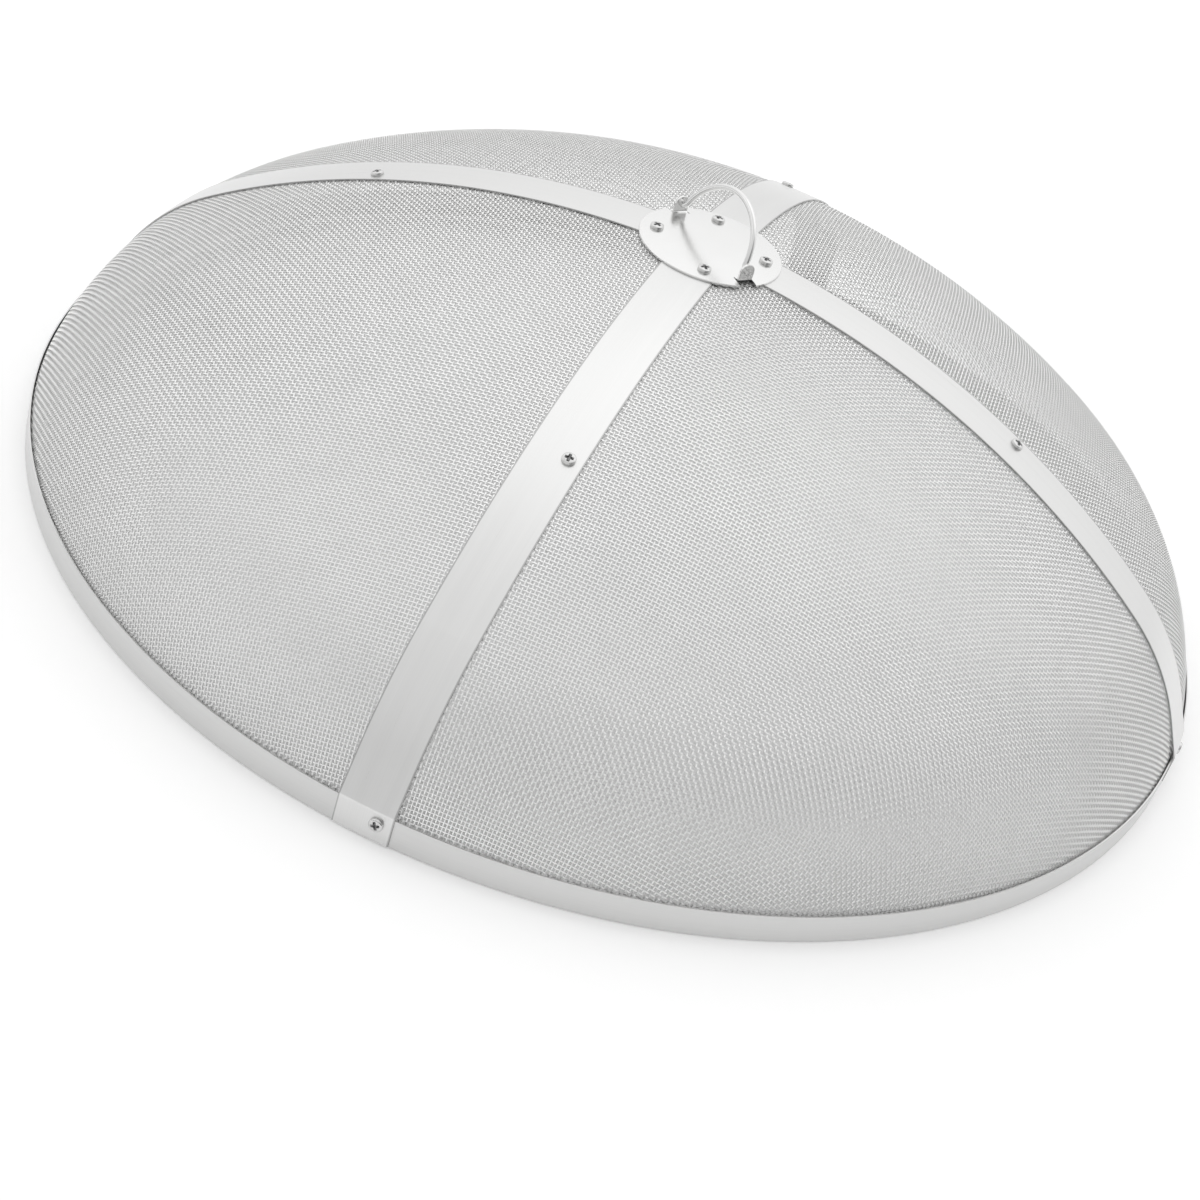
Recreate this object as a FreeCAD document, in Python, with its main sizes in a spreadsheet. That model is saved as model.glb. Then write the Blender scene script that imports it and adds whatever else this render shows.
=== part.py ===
import FreeCAD, Part
import math
import os

import Sketcher

# Domed spark screen for a round fire pit. Millimetres, +Z up, the origin at the centre of the hoop's
# flat underside. Four equal quarter panels lap like a pinwheel: each carries a cover band along its
# leading edge and a seam strip under its trailing edge, and screws join a band to the next panel.

# The hoop: folded channels that grip the hem of the mesh
rim_radius = 457.2
rim_height = 22.5
rim_sheet = 1.0
rim_inner_leg = 19.5
rim_fold = 1.2
panel_gap = 1.2

# The dome, measured on the outside of the mesh
dome_height = 244.6
shoulder_radius = 187.5
shoulder_end_angle = 73.0
mesh_thickness = 1.6
hem_radius = 25.0
hem_height = 15.0
hem_end = 3.0
mesh_hub_hole = 30.0

# A coarse grid of openings stands for the fine weave: square from above, over a closed border
opening_side = 59.6
opening_pitch = 73.6
opening_start = 24.0
border_angle = 70.0

# Clearances
seat_gap = 0.1
leg_gap = 0.25
hole_gap = 0.25
touch_gap = 0.05
nut_gap = 0.06
pivot_gap = 0.08
ear_side_gap = 0.4

# Cover bands and seam strips
band_width = 40.3
band_sheet = 1.0
band_start = 21.0
band_fold = 3.0
band_fold_lift = 0.5
band_end = 1.0
strip_sheet = 1.0
strip_width = 17.2
strip_start = 24.0
strip_end_lift = 1.0

# Hub: the plate on top, the clamping disc inside and the ears for the handle
plate_radius = 54.0
plate_sheet = 1.5
plate_edge = 0.4
disc_radius = 50.0
disc_sheet = 1.2
disc_hole = 12.0
hinge_turn = -38.5
ear_width = 12.0
ear_slot = 0.9
ear_slot_run = 1.5
ear_fold = 1.5
ear_inner_face = 46.4
pivot_rise = 6.5

# Handle: one bent wire
wire_diameter = 4.5
wire_fold = 4.0
wire_drop = 6.8
wire_lean = 20.0
pin_stickout = 3.0

# Fasteners
screw_diameter = 5.0
head_diameter = 10.0
head_height = 2.8
head_side = 1.4
screw_tip = 0.6
thread_past_nut = 1.0
washer_diameter = 10.0
washer_sheet = 1.0
nut_flats = 8.0
nut_height = 4.0
screw_offset = 9.3
plate_screw_circle = 41.3
band_screw_circle = 258.5
rim_screw_height = 14.9

# Worked out: the meridian of the mesh, three arcs that run into one another
hem_face = rim_radius - rim_sheet - seat_gap
hem_centre_radius = hem_face - hem_radius
shoulder_run = shoulder_radius - hem_radius
shoulder_normal = math.radians(shoulder_end_angle)
shoulder_centre_radius = hem_centre_radius - shoulder_run * math.sin(shoulder_normal)
shoulder_centre_depth = shoulder_run * math.cos(shoulder_normal) - hem_height
crown_rise = dome_height + shoulder_centre_depth
crown_radius = (shoulder_centre_radius ** 2 + crown_rise ** 2 - shoulder_radius ** 2) / (
    2 * (crown_rise - shoulder_radius)
)
crown_centre_depth = crown_radius - dome_height
crown_end_angle = math.degrees(math.asin(shoulder_centre_radius / (crown_radius - shoulder_radius)))

# Worked out: the grid of openings, which stops at the border's level
border_slope = math.radians(border_angle)
border_radius = shoulder_centre_radius + shoulder_radius * math.sin(border_slope)
border_height = shoulder_radius * math.cos(border_slope) - shoulder_centre_depth
opening_end = opening_start + opening_side
opening_rows = math.ceil((border_radius - opening_start) / opening_pitch)
openings_span = opening_pitch * (opening_rows - 1)

# Worked out: how far each skin lies outside the outer face of the mesh
mesh_outside = 0.0
mesh_inside = -mesh_thickness
band_inside = seat_gap
band_outside = band_inside + band_sheet
strip_outside = mesh_inside - seat_gap
strip_inside = strip_outside - strip_sheet
plate_inside = band_outside + seat_gap
plate_outside = plate_inside + plate_sheet
disc_outside = strip_inside - seat_gap
disc_inside = disc_outside - disc_sheet


def mesh_inside_radius(height):
    """Distance from the axis to the inner face of the mesh, where the hem or the shoulder passes a height."""
    hem_inner = hem_radius - mesh_thickness
    if height <= hem_height:
        return hem_centre_radius + hem_inner
    if height <= hem_height + hem_inner * math.cos(shoulder_normal):
        return hem_centre_radius + math.sqrt(hem_inner ** 2 - (height - hem_height) ** 2)
    inner = shoulder_radius - mesh_thickness
    return shoulder_centre_radius + math.sqrt(inner ** 2 - (height + shoulder_centre_depth) ** 2)


# Worked out: the rim's legs, the fold of a band over the rim and the end of a seam strip
rim_outer_leg = rim_radius - rim_sheet
rim_leg_outside = mesh_inside_radius(rim_inner_leg) - leg_gap
rim_leg_inside = rim_leg_outside - rim_sheet
tab_inside = rim_radius + seat_gap
tab_outside = tab_inside + band_sheet
band_fold_outside = band_fold + band_sheet
band_fold_centre = tab_inside - band_fold
band_fold_height = rim_height + band_fold_lift
strip_end = hem_height + hem_radius * math.cos(shoulder_normal) + strip_end_lift
half_gap = panel_gap / 2
band_half = band_width / 2
band_blank_start = band_start / 2
strip_blank_start = strip_start / 2
strip_far_side = half_gap + strip_width
trim_reach = rim_radius + band_width

# Worked out: the plate, its ears and the wire handle, on a hinge line along X
plate_bottom = crown_radius + plate_inside
plate_top = crown_radius + plate_outside
plate_rim_height = math.sqrt(plate_top ** 2 - plate_radius ** 2) - crown_centre_depth
plate_diameter = 2 * plate_radius
disc_diameter = 2 * disc_radius
disc_bore = 2 * disc_hole
dish_half_angle = math.degrees(math.asin((plate_radius + band_width) / crown_radius))
dish_whole_angle = 2 * dish_half_angle
dish_start_angle = 90 - dish_half_angle
dish_end_angle = 90 + dish_half_angle
ear_fold_outside = ear_fold + plate_sheet
ear_fold_centre = plate_top + ear_fold
ear_tilt = math.degrees(math.asin((ear_inner_face - ear_fold) / ear_fold_centre))
ear_leg_angle = 90 + ear_tilt
ear_half = ear_width / 2
ear_slot_side = ear_half + ear_slot
pivot_height = plate_top * math.cos(math.radians(ear_tilt)) - crown_centre_depth + pivot_rise
ear_leg_foot = ear_fold_centre * math.cos(math.radians(ear_tilt)) - crown_centre_depth
ear_leg = pivot_height + ear_half - ear_leg_foot
above_ears = pivot_height + ear_width
wire_bend_centre = ear_inner_face - ear_side_gap
wire_bend_reach = math.hypot(wire_bend_centre, wire_drop + wire_fold)
wire_arc_radius = wire_bend_reach - wire_fold
wire_arc_start = math.degrees(math.asin((wire_drop + wire_fold) / wire_bend_reach))
pin_end = ear_inner_face + plate_sheet + pin_stickout
pivot_hole = wire_diameter + 2 * pivot_gap

# Worked out: screws, from the face under the head to the tip behind the nut
screw_radius = screw_diameter / 2
head_radius = head_diameter / 2
screw_hole = screw_diameter + 2 * hole_gap
nut_bore = screw_diameter + 2 * nut_gap
nut_corner = nut_flats / math.sqrt(3)
washer_depth = touch_gap + washer_sheet
nut_depth = washer_depth + touch_gap + nut_height
plate_screw_length = touch_gap + plate_outside - disc_inside + nut_depth + thread_past_nut
band_screw_length = touch_gap + band_outside - strip_inside + nut_depth + thread_past_nut
rim_screw_length = touch_gap + tab_outside - rim_leg_inside + nut_depth + thread_past_nut

sizes = {name: value for name, value in dict(vars()).items() if isinstance(value, float)}

doc = FreeCAD.newDocument("spark_screen")
sheet = doc.addObject("Spreadsheet::Sheet", "Sizes")
for row, (name, value) in enumerate(sizes.items(), start=1):
    sheet.set("A%d" % row, name)
    sheet.set("B%d" % row, repr(value))
    sheet.setAlias("B%d" % row, name)
doc.recompute()

z_axis = FreeCAD.Vector(0, 0, 1)
no_turn = FreeCAD.Rotation()
h_axis_line, v_axis_line = range(-1, -3, -1)
start, end, centre = range(1, 4)
origin_point = (h_axis_line, start)
quarter_turn = 90.0
half_turn = 2 * quarter_turn
full_turn = 2 * half_turn
same_place = 0.01
made = []


def new_body(name):
    """An empty piece: its label names its file."""
    body = doc.addObject("PartDesign::Body", name)
    body.Label = name
    body.AllowCompound = True
    made.append(body)
    return body


def origin_feature(body, role):
    return [item for item in body.Origin.OriginFeatures if item.Role == role][0]


def new_sketch(body, name, role, move=None):
    """A sketch on one of the piece's own origin planes, which move carries to another place."""
    plane = origin_feature(body, role)
    sketch = body.newObject("Sketcher::SketchObject", name)
    sketch.AttachmentSupport = [(plane, "")]
    sketch.MapMode = "FlatFace"
    if move is not None:
        sketch.AttachmentOffset = plane.Placement.inverse().multiply(move).multiply(plane.Placement)
    return sketch


def bind(sketch, constraint, alias):
    """Add a dimension and tie it to its cell of the sheet."""
    index = sketch.addConstraint(constraint)
    sketch.setExpression("Constraints[%d]" % index, "Sizes." + alias)


def place(sketch, direction, geometry, point, alias, side=1):
    """Fix a point's distance from the sketch's own axis; side is -1 on the negative side of it."""
    ends = origin_point + (geometry, point) if side > 0 else (geometry, point) + origin_point
    bind(sketch, Sketcher.Constraint("Distance" + direction, *ends, sizes[alias]), alias)


def radius(sketch, geometry, alias):
    bind(sketch, Sketcher.Constraint("Radius", geometry, sizes[alias]), alias)


def join(sketch, first, first_end, second, second_end, kind="Coincident"):
    sketch.addConstraint(Sketcher.Constraint(kind, first, first_end, second, second_end))


def add_line(sketch, a, b):
    return sketch.addGeometry(Part.LineSegment(FreeCAD.Vector(*a, 0), FreeCAD.Vector(*b, 0)))


def add_arc(sketch, middle, size, from_angle, to_angle):
    """An arc, counterclockwise, with its angles in degrees from the sketch's X."""
    circle = Part.Circle(FreeCAD.Vector(*middle, 0), z_axis, size)
    return sketch.addGeometry(
        Part.ArcOfCircle(circle, math.radians(from_angle), math.radians(to_angle))
    )


def add_circle(sketch, diameter_alias):
    """A circle about the sketch's own origin."""
    size = sizes[diameter_alias]
    circle = sketch.addGeometry(Part.Circle(FreeCAD.Vector(), z_axis, size / 2))
    join(sketch, circle, centre, *origin_point)
    bind(sketch, Sketcher.Constraint("Diameter", circle, size), diameter_alias)
    return circle


def add_rectangle(sketch, left, right, bottom, top):
    """An upright rectangle; each side is an alias with its sign, so ("a", -1) lies at minus a."""
    x = [sizes[alias] * side for alias, side in (left, right)]
    y = [sizes[alias] * side for alias, side in (bottom, top)]
    corners = [(x[0], y[0]), (x[1], y[0]), (x[1], y[1]), (x[0], y[1])]
    lines = [add_line(sketch, corners[i], corners[(i + 1) % 4]) for i in range(4)]
    for i in range(4):
        join(sketch, lines[i], end, lines[(i + 1) % 4], start)
    for line, kind in zip(lines, ("Horizontal", "Vertical", "Horizontal", "Vertical")):
        sketch.addConstraint(Sketcher.Constraint(kind, line))
    place(sketch, "X", lines[0], start, *left)
    place(sketch, "X", lines[0], end, *right)
    place(sketch, "Y", lines[0], start, *bottom)
    place(sketch, "Y", lines[2], start, *top)


def finish_profile(sketch, feature_type, name, body):
    feature = body.newObject(feature_type, name)
    feature.Profile = sketch
    sketch.Visibility = False
    return feature


def revolve(body, sketch, name, degrees, both_ways=False, axis="V_Axis"):
    turn = finish_profile(sketch, "PartDesign::Revolution", name, body)
    turn.ReferenceAxis = (sketch, [axis])
    turn.Angle = degrees
    turn.Midplane = both_ways
    return turn


def pocket(body, sketch, name, depth=None):
    """Cut both ways from the sketch, right through or to a total depth."""
    cut = finish_profile(sketch, "PartDesign::Pocket", name, body)
    cut.Midplane = True
    if depth is None:
        cut.Type = "ThroughAll"
    else:
        cut.Length = depth
    return cut


def pad(body, sketch, name, alias, both_ways=False, turned=False):
    block = finish_profile(sketch, "PartDesign::Pad", name, body)
    block.setExpression("Length", "Sizes." + alias)
    block.Midplane = both_ways
    block.Reversed = turned
    return block


def rows_both_ways(body, feature, name):
    """Repeat a feature in rows along X and along Y."""
    grid = body.newObject("PartDesign::MultiTransform", name)
    grid.Originals = [feature]
    rows = []
    for role in ("X_Axis", "Y_Axis"):
        row = body.newObject("PartDesign::LinearPattern", name + "_" + role)
        row.Direction = (origin_feature(body, role), [""])
        row.setExpression("Length", "Sizes.openings_span")
        row.Occurrences = opening_rows
        rows.append(row)
    grid.Transformations = rows
    body.Tip = grid


def around_axis(body, features, name, count):
    """Repeat features about the upright axis."""
    pattern = body.newObject("PartDesign::PolarPattern", name)
    pattern.Originals = features
    pattern.Axis = (origin_feature(body, "Z_Axis"), [""])
    pattern.Angle = full_turn
    pattern.Occurrences = count
    body.Tip = pattern
    return pattern


def keep_inside(body, name, left, right, bottom, top):
    """Cut away all that lies outside a rectangle seen from above."""
    sketch = new_sketch(body, name + "_sketch", "XY_Plane")
    add_rectangle(sketch, ("trim_reach", -1), ("trim_reach", 1), ("trim_reach", -1), ("trim_reach", 1))
    add_rectangle(sketch, left, right, bottom, top)
    return pocket(body, sketch, name)


def keep_round(body, name, diameter_alias):
    """Cut away all that lies outside a circle seen from above."""
    sketch = new_sketch(body, name + "_sketch", "XY_Plane")
    add_rectangle(sketch, ("trim_reach", -1), ("trim_reach", 1), ("trim_reach", -1), ("trim_reach", 1))
    add_circle(sketch, diameter_alias)
    return pocket(body, sketch, name)


def turn_to(body, degrees):
    body.Placement = FreeCAD.Placement(FreeCAD.Vector(), FreeCAD.Rotation(z_axis, degrees))


# The screws' places, beside the arm along X
def on_crown(circle_radius, skin_offset, turn=0.0):
    """The place on a skin of the crown beyond the arm's centre line, with its Z square to the dome."""
    around = math.degrees(math.asin(screw_offset / circle_radius)) + turn
    tilt = math.degrees(math.asin(circle_radius / (crown_radius + band_outside)))
    turned = FreeCAD.Rotation(z_axis, around).multiply(FreeCAD.Rotation(FreeCAD.Vector(0, 1, 0), tilt))
    out = turned.multVec(z_axis) * (crown_radius + skin_offset)
    return FreeCAD.Placement(out - z_axis * crown_centre_depth, turned)


def on_rim(face_radius):
    """The place on a face of the rim beyond the arm's centre line, with its Z pointing outwards."""
    around = math.degrees(math.asin(screw_offset / rim_radius))
    level = FreeCAD.Rotation(FreeCAD.Vector(0, 1, 0), quarter_turn)
    turned = FreeCAD.Rotation(z_axis, around).multiply(level)
    out = turned.multVec(z_axis) * face_radius
    return FreeCAD.Placement(out + z_axis * rim_screw_height, turned)


def drill(body, name, spot):
    """A clearance hole for a screw, through the sheet at one place."""
    sketch = new_sketch(body, name + "_sketch", "XY_Plane", spot)
    add_circle(sketch, "screw_hole")
    return pocket(body, sketch, name, depth=2 * band_screw_length)


def drill_panel(body):
    """The holes by which a panel's trailing edge takes the next band's screws."""
    drill(body, "hub_screw_hole", on_crown(plate_screw_circle, 0))
    drill(body, "middle_screw_hole", on_crown(band_screw_circle, 0))


def dome_arcs(sketch, offset_alias, start_radius, end_angle):
    """The crown and shoulder arcs of a skin, run together; returns both."""
    offset = sizes[offset_alias]
    lean = math.degrees(math.asin(start_radius / (crown_radius + offset)))
    crown = add_arc(
        sketch,
        (0, -crown_centre_depth),
        crown_radius + offset,
        quarter_turn - crown_end_angle,
        quarter_turn - lean,
    )
    shoulder = add_arc(
        sketch,
        (shoulder_centre_radius, -shoulder_centre_depth),
        shoulder_radius + offset,
        quarter_turn - end_angle,
        quarter_turn - crown_end_angle,
    )
    sketch.addConstraint(Sketcher.Constraint("PointOnObject", crown, centre, v_axis_line))
    place(sketch, "Y", crown, centre, "crown_centre_depth", -1)
    index = sketch.addConstraint(Sketcher.Constraint("Radius", crown, crown_radius + offset))
    sketch.setExpression("Constraints[%d]" % index, "Sizes.crown_radius + Sizes." + offset_alias)
    place(sketch, "X", shoulder, centre, "shoulder_centre_radius")
    place(sketch, "Y", shoulder, centre, "shoulder_centre_depth", -1)
    join(sketch, crown, start, shoulder, end, "Tangent")
    return crown, shoulder


def close_inner_end(sketch, outer, inner, alias):
    """The upright edge at the hub, between the crown arcs of the two faces."""
    low = sizes[alias]
    line = add_line(sketch, (low, dome_height), (low, dome_height - mesh_thickness))
    join(sketch, line, start, outer, end)
    join(sketch, line, end, inner, end)
    sketch.addConstraint(Sketcher.Constraint("Vertical", line))
    place(sketch, "X", line, start, alias)


def close_outer_end(sketch, outer, outer_end, inner, inner_end, alias):
    """The level edge at the rim, between the last lines or arcs of the two faces."""
    level = sizes[alias]
    line = add_line(sketch, (rim_radius, level), (rim_radius - mesh_thickness, level))
    join(sketch, line, start, outer, outer_end)
    join(sketch, line, end, inner, inner_end)
    sketch.addConstraint(Sketcher.Constraint("Horizontal", line))
    place(sketch, "Y", line, start, alias)


def mesh_face(sketch, offset_alias):
    """One face of the mesh: crown, shoulder, hem arc and the upright hem; returns crown and hem."""
    offset = sizes[offset_alias]
    crown, shoulder = dome_arcs(sketch, offset_alias, mesh_hub_hole, shoulder_end_angle)
    size = hem_radius + offset
    hem_start = quarter_turn - shoulder_end_angle
    hem_arc = add_arc(sketch, (hem_centre_radius, hem_height), size, 0, hem_start)
    x = hem_centre_radius + size
    hem = add_line(sketch, (x, hem_height), (x, hem_end))
    join(sketch, shoulder, start, hem_arc, end, "Tangent")
    join(sketch, hem_arc, start, hem, start, "Tangent")
    sketch.addConstraint(Sketcher.Constraint("Vertical", hem))
    index = sketch.addConstraint(Sketcher.Constraint("Radius", hem_arc, size))
    sketch.setExpression("Constraints[%d]" % index, "Sizes.hem_radius + Sizes." + offset_alias)
    place(sketch, "X", hem_arc, centre, "hem_centre_radius")
    return crown, hem


def open_grid(body):
    """Square openings in rows, cut upwards from the level at which the closed border ends."""
    sketch = new_sketch(body, "opening", "XY_Plane", FreeCAD.Placement(z_axis * border_height, no_turn))
    sides = [("opening_start", 1), ("opening_end", 1)]
    add_rectangle(sketch, *sides, *sides)
    opening = finish_profile(sketch, "PartDesign::Pocket", "first_opening", body)
    opening.Type = "ThroughAll"
    opening.Reversed = True
    rows_both_ways(body, opening, "openings")


def mesh_panel(name, turn):
    """A dished quarter of the dome with its hem turned down into the channel."""
    body = new_body(name)
    sketch = new_sketch(body, "meridian", "XZ_Plane")
    outer_crown, outer_hem = mesh_face(sketch, "mesh_outside")
    inner_crown, inner_hem = mesh_face(sketch, "mesh_inside")
    close_inner_end(sketch, outer_crown, inner_crown, "mesh_hub_hole")
    close_outer_end(sketch, outer_hem, end, inner_hem, end, "hem_end")
    revolve(body, sketch, "quarter_dome", quarter_turn)
    keep_inside(
        body, "seam_edges", ("half_gap", 1), ("rim_radius", 1), ("half_gap", 1), ("rim_radius", 1)
    )
    drill_panel(body)
    drill(body, "rim_screw_hole", on_rim(rim_radius))
    open_grid(body)
    turn_to(body, turn)


def seam_strip(name, turn):
    """The strip inside the dome, under a panel's trailing edge, that takes the band's screws."""
    body = new_body(name)
    sketch = new_sketch(body, "meridian", "XZ_Plane")
    outer_crown, outer_shoulder = dome_arcs(sketch, "strip_outside", strip_blank_start, shoulder_end_angle)
    inner_crown, inner_shoulder = dome_arcs(sketch, "strip_inside", strip_blank_start, shoulder_end_angle)
    close_inner_end(sketch, outer_crown, inner_crown, "strip_blank_start")
    close_outer_end(sketch, outer_shoulder, start, inner_shoulder, start, "strip_end")
    revolve(body, sketch, "skin", quarter_turn)
    keep_inside(
        body, "sides", ("strip_start", 1), ("rim_radius", 1), ("half_gap", 1), ("strip_far_side", 1)
    )
    drill_panel(body)
    turn_to(body, turn)


def band_face(sketch, offset_alias, fold_alias, tab_alias):
    """One face of a band: crown, shoulder, straight run, fold and tab; returns crown and tab."""
    offset = sizes[offset_alias]
    fold = sizes[fold_alias]
    across = band_fold_centre - shoulder_centre_radius
    up = band_fold_height + shoulder_centre_depth
    lead = math.acos((shoulder_radius + offset - fold) / math.hypot(across, up))
    normal = math.atan2(up, across) + lead
    angle = math.degrees(normal)
    crown, shoulder = dome_arcs(sketch, offset_alias, band_blank_start, quarter_turn - angle)
    away = (math.cos(normal), math.sin(normal))
    reach = shoulder_radius + offset
    leave = (shoulder_centre_radius + reach * away[0], reach * away[1] - shoulder_centre_depth)
    arrive = (band_fold_centre + fold * away[0], band_fold_height + fold * away[1])
    run = add_line(sketch, leave, arrive)
    bend = add_arc(sketch, (band_fold_centre, band_fold_height), fold, 0, angle)
    tab = add_line(sketch, (sizes[tab_alias], band_fold_height), (sizes[tab_alias], band_end))
    join(sketch, shoulder, start, run, start, "Tangent")
    join(sketch, run, end, bend, end, "Tangent")
    join(sketch, bend, start, tab, start, "Tangent")
    place(sketch, "X", bend, centre, "band_fold_centre")
    place(sketch, "Y", bend, centre, "band_fold_height")
    radius(sketch, bend, fold_alias)
    sketch.addConstraint(Sketcher.Constraint("Vertical", tab))
    return crown, tab


def cover_band(name, turn):
    """A sheet strap over the seam, folded down outside the rim."""
    body = new_body(name)
    sketch = new_sketch(body, "meridian", "XZ_Plane")
    outer_crown, outer_tab = band_face(sketch, "band_outside", "band_fold_outside", "tab_outside")
    inner_crown, inner_tab = band_face(sketch, "band_inside", "band_fold", "tab_inside")
    close_inner_end(sketch, outer_crown, inner_crown, "band_blank_start")
    close_outer_end(sketch, outer_tab, end, inner_tab, end, "band_end")
    revolve(body, sketch, "skin", half_turn, both_ways=True)
    keep_inside(
        body, "sides", ("band_start", 1), ("trim_reach", 1), ("band_half", -1), ("band_half", 1)
    )
    drill_panel(body)
    drill(body, "rim_screw_hole", on_rim(rim_radius))
    turn_to(body, turn)


def edges_around(shape, places):
    """Names of the edges that run round the axis at the given radii and heights."""
    found = []
    for number, edge in enumerate(shape.Edges, start=1):
        if edge.Degenerated:
            continue
        middle = edge.valueAt((edge.FirstParameter + edge.LastParameter) / 2)
        for size, height in places:
            if math.hypot(math.hypot(middle.x, middle.y) - size, middle.z - height) < same_place:
                found.append("Edge%d" % number)
    return found


def rim_channel(name, turn):
    """A quarter of the hoop: a sheet folded into a U that is open upwards."""
    body = new_body(name)
    sketch = new_sketch(body, "section", "XZ_Plane")
    steps = [
        ("rim_leg_inside", ""),
        ("rim_radius", ""),
        ("rim_radius", "rim_height"),
        ("rim_outer_leg", "rim_height"),
        ("rim_outer_leg", "rim_sheet"),
        ("rim_leg_outside", "rim_sheet"),
        ("rim_leg_outside", "rim_inner_leg"),
        ("rim_leg_inside", "rim_inner_leg"),
    ]
    corners = [(sizes[x], sizes[y] if y else 0) for x, y in steps]
    lines = [add_line(sketch, corners[i], corners[(i + 1) % 8]) for i in range(8)]
    for i, (x, y) in enumerate(steps):
        join(sketch, lines[i - 1], end, lines[i], start)
        place(sketch, "X", lines[i], start, x)
        if y:
            place(sketch, "Y", lines[i], start, y)
        else:
            sketch.addConstraint(Sketcher.Constraint("PointOnObject", lines[i], start, h_axis_line))
    channel = revolve(body, sketch, "quarter_hoop", quarter_turn)
    doc.recompute()
    rounding = body.newObject("PartDesign::Fillet", "folds")
    rounding.Base = (channel, edges_around(channel.Shape, [(rim_radius, 0), (rim_leg_inside, 0)]))
    rounding.setExpression("Radius", "Sizes.rim_fold")
    keep_inside(
        body, "ends", ("half_gap", 1), ("trim_reach", 1), ("half_gap", 1), ("trim_reach", 1)
    )
    drill(body, "rim_screw_hole", on_rim(rim_radius))
    turn_to(body, turn)


def dish_patch(body, upper_alias, lower_alias):
    """A piece of shell about the crown's centre, turned about a level line through it."""
    at_centre = FreeCAD.Placement(z_axis * -crown_centre_depth, no_turn)
    sketch = new_sketch(body, "section", "XZ_Plane", at_centre)
    arcs = []
    for alias in (upper_alias, lower_alias):
        size = crown_radius + sizes[alias]
        arc = add_arc(sketch, (0, 0), size, dish_start_angle, dish_end_angle)
        join(sketch, arc, centre, *origin_point)
        index = sketch.addConstraint(Sketcher.Constraint("Radius", arc, size))
        sketch.setExpression("Constraints[%d]" % index, "Sizes.crown_radius + Sizes." + alias)
        arcs.append(arc)
    for point, lean in ((start, dish_start_angle), (end, dish_end_angle)):
        away = FreeCAD.Vector(math.cos(math.radians(lean)), math.sin(math.radians(lean)), 0)
        foot = away * (crown_radius + sizes[lower_alias])
        tip = away * (crown_radius + sizes[upper_alias])
        edge = add_line(sketch, (foot.x, foot.y), (tip.x, tip.y))
        join(sketch, edge, start, arcs[1], point)
        join(sketch, edge, end, arcs[0], point)
        sketch.addConstraint(Sketcher.Constraint("PointOnObject", *origin_point, edge))
    index = sketch.addConstraint(Sketcher.Constraint("Angle", edge, math.radians(dish_end_angle)))
    sketch.setExpression("Constraints[%d]" % index, "Sizes.dish_end_angle * 1 deg")
    sketch.addConstraint(Sketcher.Constraint("Symmetric", arcs[0], start, arcs[0], end, v_axis_line))
    return revolve(body, sketch, "dish", dish_whole_angle, both_ways=True, axis="H_Axis")


def hub_disc():
    """The dished disc inside the dome that the hub screws pull up against the strips."""
    body = new_body("hub_clamping_disc")
    dish_patch(body, "disc_outside", "disc_inside")
    keep_round(body, "outline", "disc_diameter")
    middle = new_sketch(body, "middle", "XY_Plane")
    add_circle(middle, "disc_bore")
    pocket(body, middle, "middle_hole")
    hole = drill(body, "screw_hole", on_crown(plate_screw_circle, 0))
    around_axis(body, [hole], "screw_holes", 4)


def notch_outline(sketch):
    """The gap in the plate's edge that an ear leaves, with a slot on each side of its root."""
    steps = [
        ("ear_slot_run", -1, "ear_slot_side", -1),
        ("plate_radius", 1, "ear_slot_side", -1),
        ("plate_radius", 1, "ear_slot_side", 1),
        ("ear_slot_run", -1, "ear_slot_side", 1),
        ("ear_slot_run", -1, "ear_half", 1),
        ("", 0, "ear_half", 1),
        ("", 0, "ear_half", -1),
        ("ear_slot_run", -1, "ear_half", -1),
    ]
    corners = [(sizes[x] * x_side if x else 0, sizes[y] * y_side) for x, x_side, y, y_side in steps]
    lines = [add_line(sketch, corners[i], corners[(i + 1) % 8]) for i in range(8)]
    for i, (x, x_side, y, y_side) in enumerate(steps):
        join(sketch, lines[i - 1], end, lines[i], start)
        place(sketch, "Y", lines[i], start, y, y_side)
        if x:
            place(sketch, "X", lines[i], start, x, x_side)
        else:
            sketch.addConstraint(Sketcher.Constraint("PointOnObject", lines[i], start, v_axis_line))


def ear_side(sketch, fold_alias):
    """One face of an ear: the fold at its root and the upright leg; returns both."""
    size = sizes[fold_alias]
    tilt = math.radians(ear_tilt)
    fold = add_arc(sketch, (0, ear_fold_centre), size, 3 * quarter_turn, full_turn + ear_tilt)
    foot = (size * math.cos(tilt), ear_fold_centre + size * math.sin(tilt))
    tip = (foot[0] - ear_leg * math.sin(tilt), foot[1] + ear_leg * math.cos(tilt))
    leg = add_line(sketch, foot, tip)
    sketch.addConstraint(Sketcher.Constraint("PointOnObject", fold, centre, v_axis_line))
    sketch.addConstraint(Sketcher.Constraint("PointOnObject", fold, start, v_axis_line))
    place(sketch, "Y", fold, centre, "ear_fold_centre")
    radius(sketch, fold, fold_alias)
    join(sketch, fold, end, leg, start, "Tangent")
    index = sketch.addConstraint(Sketcher.Constraint("Angle", leg, math.radians(ear_leg_angle)))
    sketch.setExpression("Constraints[%d]" % index, "Sizes.ear_leg_angle * 1 deg")
    bind(sketch, Sketcher.Constraint("Distance", leg, ear_leg), "ear_leg")
    return fold, leg


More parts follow.
